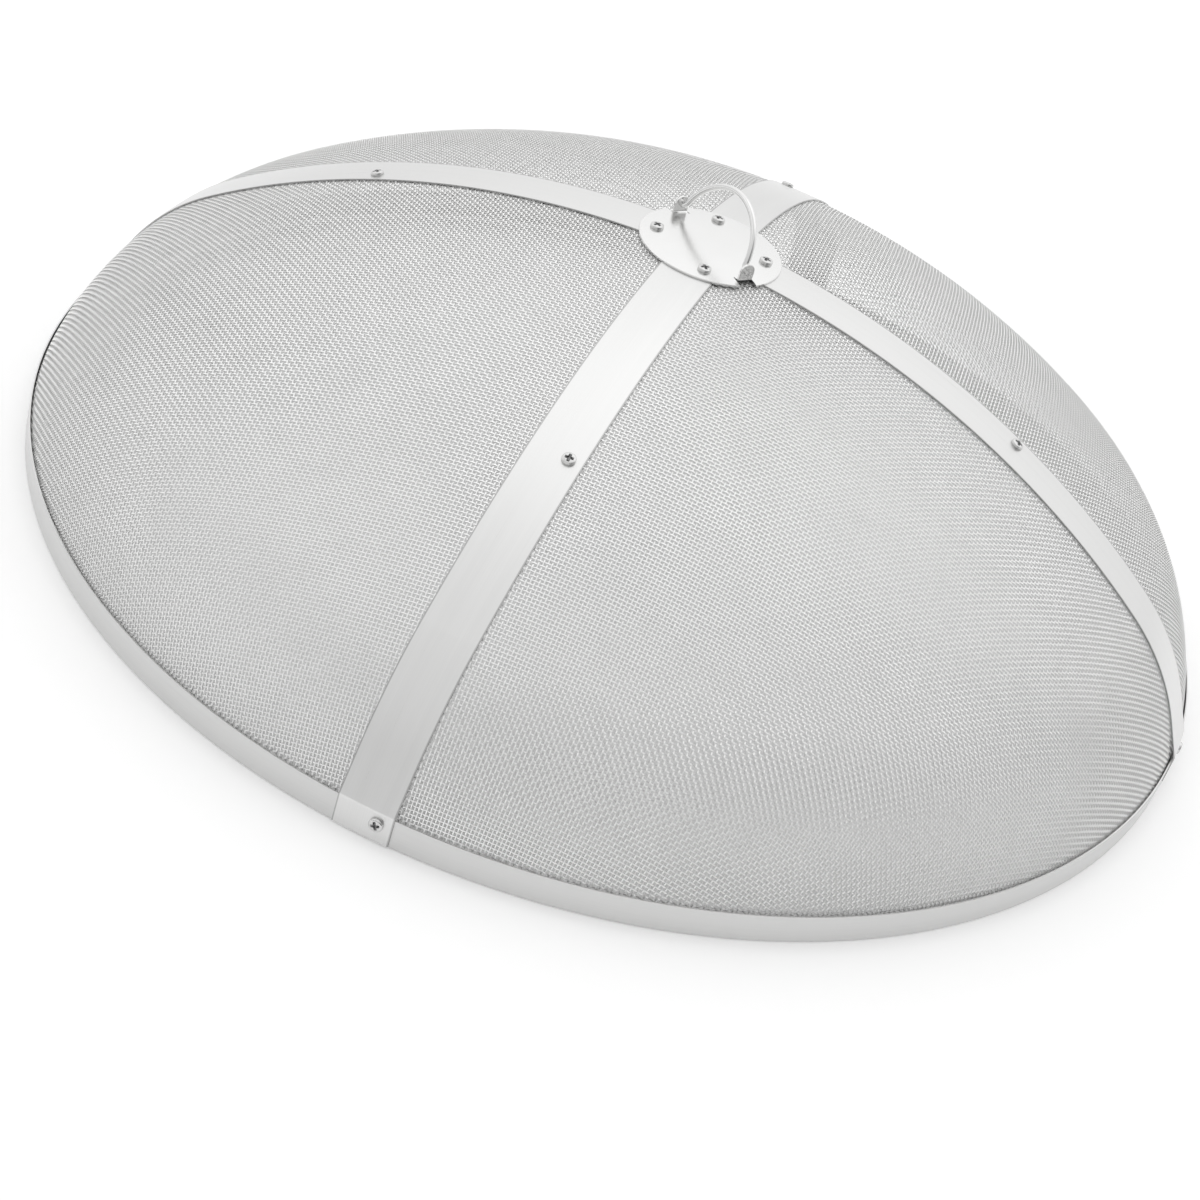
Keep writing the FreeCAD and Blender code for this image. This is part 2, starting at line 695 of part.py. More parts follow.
def ear_section(sketch):
    """The bent strip that makes an ear, from its root in the plate to its tip."""
    inner_fold, inner_leg = ear_side(sketch, "ear_fold")
    outer_fold, outer_leg = ear_side(sketch, "ear_fold_outside")
    root = add_line(sketch, (0, plate_top), (0, plate_bottom))
    join(sketch, root, start, inner_fold, start)
    join(sketch, root, end, outer_fold, start)
    tilt = math.radians(ear_tilt)
    tip = (ear_fold - ear_leg * tilt, ear_fold_centre + ear_leg)
    top = add_line(sketch, tip, (tip[0] + plate_sheet, tip[1] + plate_sheet * tilt))
    join(sketch, top, start, inner_leg, end)
    join(sketch, top, end, outer_leg, end)


def above_round_tips(sketch):
    """What lies over the half-round tips of the ears, from the pivot's height up."""
    tip = add_arc(sketch, (0, pivot_height), ear_half, 0, half_turn)
    corners = [
        (ear_half, pivot_height),
        (plate_radius, pivot_height),
        (plate_radius, above_ears),
        (-plate_radius, above_ears),
        (-plate_radius, pivot_height),
        (-ear_half, pivot_height),
    ]
    lines = [add_line(sketch, corners[i], corners[i + 1]) for i in range(5)]
    for i in range(4):
        join(sketch, lines[i], end, lines[i + 1], start)
    join(sketch, tip, start, lines[0], start)
    join(sketch, tip, end, lines[4], end)
    for line, kind in zip(lines, ("Horizontal", "Vertical", "Horizontal", "Vertical", "Horizontal")):
        sketch.addConstraint(Sketcher.Constraint(kind, line))
    sketch.addConstraint(Sketcher.Constraint("PointOnObject", tip, centre, v_axis_line))
    place(sketch, "Y", tip, centre, "pivot_height")
    radius(sketch, tip, "ear_half")
    place(sketch, "Y", lines[0], start, "pivot_height")
    place(sketch, "Y", lines[4], end, "pivot_height")
    place(sketch, "X", lines[1], start, "plate_radius")
    place(sketch, "X", lines[3], start, "plate_radius", -1)
    place(sketch, "Y", lines[2], start, "above_ears")


def top_plate():
    """The dished plate over the bands' ends, with two ears bent up out of its edge."""
    body = new_body("top_plate")
    dish_patch(body, "plate_outside", "plate_inside")
    dish = keep_round(body, "outline", "plate_diameter")
    doc.recompute()
    bevel = body.newObject("PartDesign::Chamfer", "broken_edge")
    bevel.Base = (dish, edges_around(dish.Shape, [(plate_radius, plate_rim_height)]))
    bevel.setExpression("Size", "Sizes.plate_edge")
    tilted = FreeCAD.Rotation(FreeCAD.Vector(0, 1, 0), ear_tilt)
    root = FreeCAD.Placement(z_axis * -crown_centre_depth, tilted)
    outline = new_sketch(body, "notch_outline", "XY_Plane", root)
    notch_outline(outline)
    notch = pocket(body, outline, "notch")
    strip = new_sketch(body, "ear_section", "XZ_Plane", root)
    ear_section(strip)
    ear = pad(body, strip, "ear", "ear_width", both_ways=True)
    around_axis(body, [notch, ear], "both_ears", 2)
    tips = new_sketch(body, "tip_outline", "YZ_Plane")
    above_round_tips(tips)
    pocket(body, tips, "round_tips")
    pivot = new_sketch(body, "pivot", "YZ_Plane", FreeCAD.Placement(z_axis * pivot_height, no_turn))
    add_circle(pivot, "pivot_hole")
    pocket(body, pivot, "pivot_holes")
    hole = drill(body, "screw_hole", on_crown(plate_screw_circle, 0, -hinge_turn))
    around_axis(body, [hole], "screw_holes", 4)
    turn_to(body, hinge_turn)


def wire_path(sketch):
    """The handle's centre line: a pin, a bend, the arch, a bend and the other pin."""
    arch_end = half_turn - wire_arc_start
    arch = add_arc(sketch, (0, -wire_drop), wire_arc_radius, wire_arc_start, arch_end)
    sketch.addConstraint(Sketcher.Constraint("PointOnObject", arch, centre, v_axis_line))
    place(sketch, "Y", arch, centre, "wire_drop", -1)
    for side in (1, -1):
        middle = (side * wire_bend_centre, wire_fold)
        if side > 0:
            bend = add_arc(sketch, middle, wire_fold, half_turn + wire_arc_start, 3 * quarter_turn)
        else:
            bend = add_arc(sketch, middle, wire_fold, 3 * quarter_turn, full_turn - wire_arc_start)
        pin = add_line(sketch, (side * wire_bend_centre, 0), (side * pin_end, 0))
        bend_top, bend_foot = (start, end) if side > 0 else (end, start)
        arch_point = start if side > 0 else end
        join(sketch, arch, arch_point, bend, bend_top, "Tangent")
        join(sketch, bend, bend_foot, pin, start, "Tangent")
        radius(sketch, bend, "wire_fold")
        if side > 0:
            place(sketch, "X", bend, centre, "wire_bend_centre")
        sketch.addConstraint(Sketcher.Constraint("PointOnObject", pin, start, h_axis_line))
        sketch.addConstraint(Sketcher.Constraint("PointOnObject", pin, end, h_axis_line))
        place(sketch, "X", pin, end, "pin_end", side)


def handle():
    """The wire handle, leaning to one side of upright."""
    body = new_body("lift_handle")
    path = new_sketch(body, "path", "XZ_Plane")
    wire_path(path)
    at_end = FreeCAD.Placement(FreeCAD.Vector(pin_end, 0, 0), no_turn)
    section = new_sketch(body, "wire_section", "YZ_Plane", at_end)
    add_circle(section, "wire_diameter")
    doc.recompute()
    wire = finish_profile(section, "PartDesign::AdditivePipe", "wire", body)
    wire.Spine = path
    doc.recompute()
    lean = FreeCAD.Rotation(FreeCAD.Vector(1, 0, 0), -wire_lean)
    turned = FreeCAD.Rotation(z_axis, hinge_turn).multiply(lean)
    body.Placement = FreeCAD.Placement(z_axis * pivot_height, turned)


def half_screw(sketch, length_alias):
    """Half of a pan-head screw: the face under its head lies on the sketch's X."""
    length = sizes[length_alias]
    core = screw_radius - screw_tip
    corners = [
        (0, -length),
        (core, -length),
        (screw_radius, screw_tip - length),
        (screw_radius, 0),
        (head_radius, 0),
        (head_radius, head_side),
    ]
    lines = [add_line(sketch, corners[i], corners[i + 1]) for i in range(5)]
    dome_rise = head_height - head_side
    crown = (head_radius ** 2 + dome_rise ** 2) / (2 * dome_rise)
    low = math.degrees(math.acos(head_radius / crown))
    cap = add_arc(sketch, (0, head_height - crown), crown, low, quarter_turn)
    axis = add_line(sketch, (0, head_height), (0, -length))
    ring = lines + [cap, axis]
    for first, second in zip(ring[:4], ring[1:5]):
        join(sketch, first, end, second, start)
    join(sketch, lines[4], end, cap, start)
    join(sketch, cap, end, axis, start)
    join(sketch, axis, end, lines[0], start)
    for line, kind in zip(lines, ("Horizontal", None, "Vertical", "Horizontal", "Vertical")):
        if kind:
            sketch.addConstraint(Sketcher.Constraint(kind, line))
    for geometry, point in ((axis, start), (axis, end), (cap, centre)):
        sketch.addConstraint(Sketcher.Constraint("PointOnObject", geometry, point, v_axis_line))
    sketch.addConstraint(Sketcher.Constraint("PointOnObject", lines[3], start, h_axis_line))
    place(sketch, "Y", lines[0], start, length_alias, -1)
    tip = lines[1]
    bind(sketch, Sketcher.Constraint("DistanceX", tip, start, tip, end, screw_tip), "screw_tip")
    bind(sketch, Sketcher.Constraint("DistanceY", tip, start, tip, end, screw_tip), "screw_tip")
    place(sketch, "X", lines[2], start, "screw_radius")
    place(sketch, "X", lines[4], start, "head_radius")
    place(sketch, "Y", lines[4], end, "head_side")
    place(sketch, "Y", cap, end, "head_height")


def add_hexagon(sketch, corner_alias):
    """A regular hexagon about the sketch's origin, by the radius of its corners."""
    size = sizes[corner_alias]
    turns = [math.radians(60 * i) for i in range(6)]
    corners = [(size * math.cos(turn), size * math.sin(turn)) for turn in turns]
    lines = [add_line(sketch, corners[i], corners[(i + 1) % 6]) for i in range(6)]
    ring = sketch.addGeometry(Part.Circle(FreeCAD.Vector(), z_axis, size), True)
    join(sketch, ring, centre, *origin_point)
    radius(sketch, ring, corner_alias)
    for i in range(6):
        join(sketch, lines[i - 1], end, lines[i], start)
        sketch.addConstraint(Sketcher.Constraint("PointOnObject", lines[i], start, ring))
    for i in range(1, 6):
        sketch.addConstraint(Sketcher.Constraint("Equal", lines[0], lines[i]))
    sketch.addConstraint(Sketcher.Constraint("PointOnObject", lines[0], start, h_axis_line))


def screws(name, spot, length_alias):
    """Four pan-head screws, one at each arm."""
    body = new_body(name)
    sketch = new_sketch(body, "half_section", "XZ_Plane", spot)
    half_screw(sketch, length_alias)
    around_axis(body, [revolve(body, sketch, "screw", full_turn)], "at_each_arm", 4)


def washers(name, spot):
    body = new_body(name)
    sketch = new_sketch(body, "ring", "XY_Plane", spot)
    add_circle(sketch, "washer_diameter")
    add_circle(sketch, "screw_hole")
    washer = pad(body, sketch, "washer", "washer_sheet", turned=True)
    around_axis(body, [washer], "at_each_arm", 4)


def nuts(name, spot):
    body = new_body(name)
    sketch = new_sketch(body, "hexagon", "XY_Plane", spot)
    add_hexagon(sketch, "nut_corner")
    add_circle(sketch, "nut_bore")
    nut = pad(body, sketch, "nut", "nut_height", turned=True)
    around_axis(body, [nut], "at_each_arm", 4)


def fasteners(kind, spot, outer_face, inner_face, length_alias):
    """Screw, washer and nut through the skins between two faces, at each arm."""
    screws(kind + "_screws", spot(outer_face + touch_gap), length_alias)
    washers(kind + "_washers", spot(inner_face - touch_gap))
    nuts(kind + "_nuts", spot(inner_face - touch_gap - washer_depth))


def at_hub(skin_offset):
    return on_crown(plate_screw_circle, skin_offset)


def at_band_middle(skin_offset):
    return on_crown(band_screw_circle, skin_offset)


quadrants = ("back_right", "back_left", "front_left", "front_right")
arms = ("right", "back", "left", "front")
for number in range(4):
    mesh_panel("mesh_panel_" + quadrants[number], quarter_turn * number)
    rim_channel("rim_channel_" + quadrants[number], quarter_turn * number)
    seam_strip("seam_strip_" + arms[number], quarter_turn * number)
    cover_band("cover_band_" + arms[number], quarter_turn * number)
hub_disc()
top_plate()
handle()
fasteners("hub", at_hub, plate_outside, disc_inside, "plate_screw_length")
fasteners("band", at_band_middle, band_outside, strip_inside, "band_screw_length")
fasteners("rim", on_rim, tab_outside, rim_leg_inside, "rim_screw_length")
doc.recompute()

faulty = [item.Label for item in doc.Objects if "Invalid" in item.State or "Error" in item.State]
faulty += [body.Label for body in made if body.Shape.isNull() or not body.Shape.isValid()]
if faulty:
    raise RuntimeError("These did not build: " + ", ".join(faulty))

os.makedirs("parts", exist_ok=True)
for body in made:
    body.Shape.exportStep("parts/%s.step" % body.Label)
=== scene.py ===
"""Looks of the domed spark screen: the woven wire panels, the screws, every metal finish and the studio."""

import math

import bpy
import numpy as np
from mathutils import Matrix, Vector


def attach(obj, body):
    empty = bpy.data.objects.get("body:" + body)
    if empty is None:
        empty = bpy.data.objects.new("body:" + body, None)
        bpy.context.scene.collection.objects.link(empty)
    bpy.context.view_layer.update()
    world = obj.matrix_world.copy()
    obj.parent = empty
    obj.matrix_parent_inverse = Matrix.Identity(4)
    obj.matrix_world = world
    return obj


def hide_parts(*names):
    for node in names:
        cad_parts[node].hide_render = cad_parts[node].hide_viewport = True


bl_info = {
    "name": "Spark Screen Looks",
    "version": (1, 0, 0),
    "blender": (4, 5, 0),
    "location": "View3D > Sidebar > Spark Screen",
    "description": "Dresses the packed model of a domed fire pit spark screen",
    "category": "Object",
}

MM = 0.001
QUARTERS = ("back_right", "back_left", "front_left", "front_right")
SCREWS_PER_RING = 4

# A wire's section: its corners, and how far out the two outer ones lie, in wire radii
WIRE_CORNERS = 3
WIRE_SHOULDER = 0.6

# A screw's grid: points round it, and rows as first and last share of the head's radius and their count
SCREW_COLUMNS = 48
RECESS_ROWS = (0.02, 0.62, 26)
CREST_ROWS = (0.66, 1.0, 10)
SIDE_ROWS = 4
ROWS_PER_TURN = 6

# The head's upright side, as a share of its height, and the power of the curve over it
HEAD_SIDE = 0.5
HEAD_CURVE = 4

# The recess: shares of an arm's half width and reach on which it runs out, and how soon its painted shade
# turns dark
RECESS_SLOPE = 0.35
RECESS_RUNOUT = 0.6
RECESS_SHADE_GAIN = 4.0

# The thread's depth and the tip's taper, as shares of the pitch, and the tip's end as one of the shank
THREAD_DEPTH = 0.45
TIP_RUN = 0.8
TIP_DROP = 0.5
TIP_END = 0.01

# The grain and smudges: the middle of a noise, and how far it moves height, roughness and colour
NOISE_MIDDLE = 0.5
BUMP_STRENGTH = 0.5
STREAK_SHARE = 0.6
GRAIN_ROUGHENS = 0.16
GRAIN_TINTS = 0.1
GRIT_SHARE = 0.5
GRIT_HEIGHT = 0.05
SMUDGE_TINTS = 0.8

# The seed of the turns to which the screws are driven
DRAW_SEED = 5

# The photograph's camera: its place and three directions
CAMERA_PLACE = (0.330548, -1.574318, 1.038590)
CAMERA_RIGHT = (0.892402, 0.369186, 0.259461)
CAMERA_UP = (-0.419548, 0.467162, 0.778292)
CAMERA_FORWARD = (-0.166124, 0.803406, -0.571788)

# The lamps: name, place, width and the setting that holds the power
LAMPS = (
    ("overhead", (0.3, 0.6, 2.6), 2.4, "key_power"),
    ("left_side", (-2.2, -0.8, 1.5), 1.6, "side_power"),
    ("right_side", (2.4, -0.4, 1.4), 1.6, "side_power"),
)
LAMP_TARGET = (0.0, 0.0, 0.1)

# The sky's ramps along parts of its unit direction, and the direction of its dark side
SKY_HEIGHT_SPAN = (0.0, 0.65)
SKY_DEPTH_SPAN = (-0.5, 0.5)
DARK_SPAN = (0.65, 0.92)
DARK_SIDE = (0.87, -0.43, 0.22)

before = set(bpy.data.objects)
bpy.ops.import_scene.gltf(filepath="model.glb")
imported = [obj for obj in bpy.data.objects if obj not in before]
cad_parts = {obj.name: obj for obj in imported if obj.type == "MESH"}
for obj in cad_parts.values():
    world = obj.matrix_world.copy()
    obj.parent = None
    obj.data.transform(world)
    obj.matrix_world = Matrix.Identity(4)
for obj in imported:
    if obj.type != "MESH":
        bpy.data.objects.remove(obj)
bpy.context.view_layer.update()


# Properties


def in_mm(name, description, default):
    """A length, its default given in millimetres."""
    return bpy.props.FloatProperty(name=name, description=description, default=default * MM, unit="LENGTH")


def in_degrees(name, description, default):
    """An angle, its default given in degrees."""
    return bpy.props.FloatProperty(
        name=name, description=description, default=math.radians(default), subtype="ANGLE"
    )


def as_share(name, description, default):
    """A share of one."""
    return bpy.props.FloatProperty(name=name, description=description, default=default, subtype="FACTOR")


def as_number(name, description, default):
    """A plain number."""
    return bpy.props.FloatProperty(name=name, description=description, default=default)


def as_color(name, description, default):
    """A linear colour."""
    return bpy.props.FloatVectorProperty(
        name=name, description=description, default=default, size=3, subtype="COLOR"
    )


class DomeSizes(bpy.types.PropertyGroup):
    """The arcs of the dome's outer face, from the hub to the hem in the rim."""

    dome_height: in_mm("Dome height", "Height of the mesh on the dome's axis", 244.6)
    shoulder_radius: in_mm("Shoulder radius", "Radius of the arc that turns down", 187.5)
    shoulder_end_angle: in_degrees("Shoulder end", "Turn of the face from level at the shoulder's end", 73)
    hem_radius: in_mm("Hem radius", "Radius of the bend into the rim", 25)
    hem_height: in_mm("Hem height", "Height at which the hem turns upright", 15)
    hem_end: in_mm("Hem end", "Height of the wires' cut ends in the rim", 3)
    hub_hole: in_mm("Hub hole", "Radius of the hole under the top plate", 30)
    rim_radius: in_mm("Rim radius", "Radius of the rim hoop's outer face", 457.2)
    rim_wall: in_mm("Rim wall", "How far the mesh lies inside the rim hoop's outer face", 1.1)


class WeaveSizes(bpy.types.PropertyGroup):
    """The plain weave of the four panels."""

    pitch: in_mm("Pitch", "Distance from wire to wire", 2.93)
    wire: in_mm("Wire diameter", "Diameter of one wire", 0.8)
    turn: in_degrees("Turn", "Turn of the wires from the panel's straight edges", 6)
    edge: in_mm("Edge", "Distance of a panel's cut edge from its arm's middle", 1.0)
    # Painted light on the wire: the wire colour is the darker end, painted shade where the wire dips under,
    # and the knuckle colour paints a highlight where it passes over
    color: as_color("Wire colour", "Colour of the wire where it dips under", (0.8, 0.8, 0.795))
    knuckle_highlight_color: as_color("Knuckle highlight colour", "Colour of the wire where it passes over", (0.95, 0.95, 0.945))
    roughness: as_share("Roughness", "Roughness of the wire", 0.4)
    relief: in_mm("Relief", "Height of the wire's grit", 0.2)
    smudge: as_share("Smudge", "Strength of the wire's smudges", 0.12)


class SheetSizes(bpy.types.PropertyGroup):
    """The satin brushed sheet of the bands, rim, strips and disc."""

    color: as_color("Sheet colour", "Colour of the satin sheet", (0.74, 0.74, 0.735))
    # Painted shade: the rim is the bands' satin sheet made darker, for the darker surroundings that the
    # upright rim reflects
    hoop_shade_color: as_color("Rim shade colour", "Colour of the rim hoop's satin sheet", (0.68, 0.68, 0.675))
    roughness: as_share("Roughness", "Roughness of the bands and strips", 0.32)
    hoop_roughness: as_share("Rim roughness", "Roughness of the rim hoop", 0.34)
    disc_roughness: as_share("Disc roughness", "Roughness of the clamping disc", 0.36)
    relief: in_mm("Relief", "Height of the brush strokes", 0.1)
    half_width: in_mm("Half width", "Half the width of a cover band", 20)
    # Painted shade: a dark line along a band's two edges, standing in for the shadow where it stands off the
    # mesh
    edge_shade_width: in_mm("Edge shade width", "Width of the dark line along a band's sheared edges", 1.0)
    edge_shade_tone: as_share("Edge shade tone", "Share of the sheet's colour that is left on that line", 0.6)
    grain_length: in_mm("Grain length", "Length of a brush stroke", 60)
    grain_width: in_mm("Grain width", "Width of a brush stroke", 0.35)


class PlateSizes(bpy.types.PropertyGroup):
    """The polished top plate and the drawn wire handle."""

    plate_color: as_color("Plate colour", "Colour of the polished plate", (0.8, 0.8, 0.795))
    handle_color: as_color("Handle colour", "Colour of the drawn wire", (0.76, 0.76, 0.755))
    plate_roughness: as_share("Plate roughness", "Roughness of the polished plate", 0.2)
    handle_roughness: as_share("Handle roughness", "Roughness of the drawn wire", 0.1)
    relief: in_mm("Relief", "Height of the metal's grit", 0.05)
    smudge: as_share("Smudge", "Strength of the smudges", 0.06)


class ScrewSizes(bpy.types.PropertyGroup):
    """The pan head screws with a cross recess, in three rings round the dome's axis."""

    head_radius: in_mm("Head radius", "Radius of the pan head", 5)
    head_height: in_mm("Head height", "Height of the pan head", 2.8)
    shank_radius: in_mm("Shank radius", "Radius over the thread", 2.5)
    thread_pitch: in_mm("Thread pitch", "Rise of the thread in one turn", 0.8)
    recess_reach: in_mm("Recess reach", "Distance from the middle to a recess arm's end", 3.4)
    recess_width: in_mm("Recess width", "Half the width of a recess arm", 1.1)
    recess_depth: in_mm("Recess depth", "Depth of the recess", 1.7)
    clearance: in_mm("Clearance", "How far the cut wires stay from a screw's axis", 3.4)
    beside: in_mm("Offset", "Distance of every screw from its arm's middle", 9.3)
    band_face: in_mm("Band face", "How far a band's outer face lies off the mesh", 1.1)
    hub_circle: in_mm("Hub circle", "Radius of the circle of the plate's screws", 41.3)
    hub_lift: in_mm("Hub seat", "How far the plate's screws sit off the mesh", 2.75)
    hub_length: in_mm("Hub screw length", "Length of the plate's screws under the head", 12.85)
    band_circle: in_mm("Band circle", "Radius of the circle of the bands' screws", 258.5)
    band_lift: in_mm("Band seat", "How far the bands' screws sit off the mesh", 1.15)
    band_length: in_mm("Band screw length", "Length of the bands' screws under the head", 9.95)
    rim_height: in_mm("Rim screw height", "Height of the rim's screws", 14.9)
    rim_lift: in_mm("Rim seat", "How far the rim's screws sit off the hoop", 1.15)
    rim_length: in_mm("Rim screw length", "Length of the rim's screws under the head", 11.637)
    color: as_color("Fastener colour", "Colour of the plain screws and nuts", (0.66, 0.66, 0.655))
    # Painted shade deep in the cross recess, where the hole lies in shade
    recess_shade_color: as_color("Recess shade colour", "Colour deep in the cross recess", (0.2, 0.2, 0.2))
    roughness: as_share("Roughness", "Roughness of the washers and nuts", 0.28)
    head_roughness: as_share("Head roughness", "Roughness of the screws", 0.2)
    relief: in_mm("Relief", "Height of the metal's grit", 0.1)
    smudge: as_share("Smudge", "Strength of the smudges", 0.12)


class StudioSizes(bpy.types.PropertyGroup):
    """The camera, the lamps and the white floor."""

    lens: as_number("Lens", "Focal length in millimetres", 73.466)
    sensor: as_number("Sensor", "Width of the camera's sensor in millimetres", 36)
    key_power: as_number("Key power", "Watts of the large overhead panel", 3.0)
    side_power: as_number("Side power", "Watts of each side panel", 2.0)
    sky_back: as_number("Sky behind", "Strength of the sky that the screen stands in front of", 1.2)
    sky_front: as_number("Sky in front", "Strength of the sky behind the camera", 0.86)
    sky_dark: as_share("Sky at the dark side", "Share of the sky's strength left at its dark side", 0.32)
    sky_low: as_share("Sky at the horizon", "Share of the sky's strength left at the horizon", 0.74)
    floor_lift: as_number("Floor lift", "Glow that brings the floor up to white where it is seen", 0.18)
    floor_reach: in_mm("Floor reach", "Half the width of the floor", 6000)
    floor_drop: in_mm("Floor drop", "How far the floor lies below the rim", 0.5)
    floor_roughness: as_share("Floor roughness", "Roughness of the floor", 0.9)
    shade_radius: in_mm("Shaded radius", "Radius of the floor that the screen covers", 448)
    shade_blend: in_mm("Shade blend", "Half the width of the shaded floor's soft edge", 4)
    shade_tone: as_share("Shaded tone", "Tone of the floor under the screen", 0.82)
    floor_tone: as_share("Floor tone", "Tone of the floor beside the screen", 0.9)


# Shader groups


def new_group(name, inputs, outputs):
    """An empty shader group with its sockets; returns the group and its two end nodes."""
    group = bpy.data.node_groups.new(name, "ShaderNodeTree")
    for label, kind, value in inputs:
        socket = group.interface.new_socket(label, in_out="INPUT", socket_type=kind)
        if value is not None:
            socket.default_value = value
    for label, kind in outputs:
        group.interface.new_socket(label, in_out="OUTPUT", socket_type=kind)
    return group, group.nodes.new("NodeGroupInput"), group.nodes.new("NodeGroupOutput")


def finish_group(name, own_input):
    """An empty shader group with a metal finish's sockets and one input of its own."""
    inputs = (
        ("Vector", "NodeSocketVector", None),
        ("Color", "NodeSocketColor", (0.8, 0.8, 0.8, 1)),
        ("Roughness", "NodeSocketFloat", 0.3),
        own_input,
    )
    outputs = (("Color", "NodeSocketColor"), ("Roughness", "NodeSocketFloat"), ("Height", "NodeSocketFloat"))
    return new_group(name, inputs, outputs)


def add_node(tree, kind, **settings):
    """A node with its plain settings made; a dict named values sets its sockets."""
    node = tree.nodes.new(kind)
    values = settings.pop("values", {})
    for key, value in settings.items():
        setattr(node, key, value)
    for key, value in values.items():
        node.inputs[key].default_value = value
    return node


def math_node(tree, operation, first, second=None):
    """A Math node fed by sockets or numbers; returns its output socket."""
    node = add_node(tree, "ShaderNodeMath", operation=operation)
    for index, source in enumerate((first, second)):
        if source is None:
            continue
        if isinstance(source, (int, float)):
            node.inputs[index].default_value = source
        else:
            tree.links.new(source, node.inputs[index])
    return node.outputs[0]


def centred_noise(tree, vector, scale, detail, roughness):
    """Noise about zero from a vector's socket; returns its output socket."""
    values = {"Scale": scale, "Detail": detail, "Roughness": roughness}
    noise = add_node(tree, "ShaderNodeTexNoise", values=values)
    tree.links.new(vector, noise.inputs["Vector"])
    return math_node(tree, "SUBTRACT", noise.outputs["Fac"], NOISE_MIDDLE)


def scaled_color(tree, color, factor):
    """The colour of one socket times the number of another; returns the output socket."""
    tint = add_node(tree, "ShaderNodeVectorMath", operation="SCALE")
    tree.links.new(color, tint.inputs[0])
    tree.links.new(factor, tint.inputs["Scale"])
    return tint.outputs[0]


def mapped(tree, source, span, ends, smooth=False):
    """A socket's number carried from a span to two ends and held past them; returns the output socket."""
    node = add_node(tree, "ShaderNodeMapRange", interpolation_type="SMOOTHSTEP" if smooth else "LINEAR")
    for label, value in zip(("From Min", "From Max", "To Min", "To Max"), (*span, *ends)):
        node.inputs[label].default_value = value
    tree.links.new(source, node.inputs["Value"])
    return node.outputs["Result"]


def split_place(tree):
    """The three coordinates of a place on the object, as sockets."""
    place = add_node(tree, "ShaderNodeTexCoord")
    split = add_node(tree, "ShaderNodeSeparateXYZ")
    tree.links.new(place.outputs["Object"], split.inputs[0])
    return split.outputs


def brushed_group():
    """Fine strokes and broad streaks of a brushed sheet, from coordinates stretched along the grain."""
    group, start, end = finish_group("brushed_grain", ("Depth", "NodeSocketFloat", 0.12))
    fine = centred_noise(group, start.outputs["Vector"], scale=1.0, detail=3.0, roughness=0.6)
    broad = centred_noise(group, start.outputs["Vector"], scale=0.06, detail=2.0, roughness=0.5)
    total = math_node(group, "ADD", fine, math_node(group, "MULTIPLY", broad, STREAK_SHARE))
    shift = math_node(group, "MULTIPLY", total, GRAIN_ROUGHENS)
    bright = math_node(group, "ADD", 1.0, math_node(group, "MULTIPLY", total, GRAIN_TINTS))
    group.links.new(scaled_color(group, start.outputs["Color"], bright), end.inputs["Color"])
    group.links.new(math_node(group, "ADD", start.outputs["Roughness"], shift), end.inputs["Roughness"])
    group.links.new(math_node(group, "MULTIPLY", fine, start.outputs["Depth"]), end.inputs["Height"])
    return group


def handled_group():
    """Faint smudges and grit of steel that has been handled."""
    group, start, end = finish_group("handled_steel", ("Smudge", "NodeSocketFloat", 0.08))
    smear = centred_noise(group, start.outputs["Vector"], scale=35.0, detail=4.0, roughness=0.55)
    grit = centred_noise(group, start.outputs["Vector"], scale=900.0, detail=2.0, roughness=0.6)
    total = math_node(group, "ADD", smear, math_node(group, "MULTIPLY", grit, GRIT_SHARE))
    shift = math_node(group, "MULTIPLY", total, start.outputs["Smudge"])
    bright = math_node(group, "SUBTRACT", 1.0, math_node(group, "MULTIPLY", shift, SMUDGE_TINTS))
    group.links.new(scaled_color(group, start.outputs["Color"], bright), end.inputs["Color"])
    group.links.new(math_node(group, "ADD", start.outputs["Roughness"], shift), end.inputs["Roughness"])
    group.links.new(math_node(group, "MULTIPLY", grit, GRIT_HEIGHT), end.inputs["Height"])
    return group


def edge_shade_group():
    """Painted shade: a dark line along a sheet's two edges, from the distance across the sheet, standing in
    for the shadow where a band's edge stands off the mesh.

    The colour falls from full to the tone over half of the line's width and keeps the tone from there on.
    """
    inputs = (
        ("Color", "NodeSocketColor", (0.8, 0.8, 0.8, 1)),
        ("Across", "NodeSocketFloat", 0.0),
        ("Half Width", "NodeSocketFloat", 0.02),
        ("Line", "NodeSocketFloat", 0.001),
        ("Tone", "NodeSocketFloat", 0.6),
    )
    group, start, end = new_group("sheared_edge", inputs, (("Color", "NodeSocketColor"),))
    inner = math_node(group, "SUBTRACT", start.outputs["Half Width"], start.outputs["Line"])
    past = math_node(group, "SUBTRACT", math_node(group, "ABSOLUTE", start.outputs["Across"]), inner)
    share = math_node(group, "DIVIDE", past, math_node(group, "MULTIPLY", start.outputs["Line"], 0.5))
    share = math_node(group, "MINIMUM", math_node(group, "MAXIMUM", share, 0.0), 1.0)
    loss = math_node(group, "MULTIPLY", share, math_node(group, "SUBTRACT", 1.0, start.outputs["Tone"]))
    left = math_node(group, "SUBTRACT", 1.0, loss)
    group.links.new(scaled_color(group, start.outputs["Color"], left), end.inputs["Color"])
    return group


def shared_group(maker, name):
    """The group of that name, made once."""
    return bpy.data.node_groups.get(name) or maker()


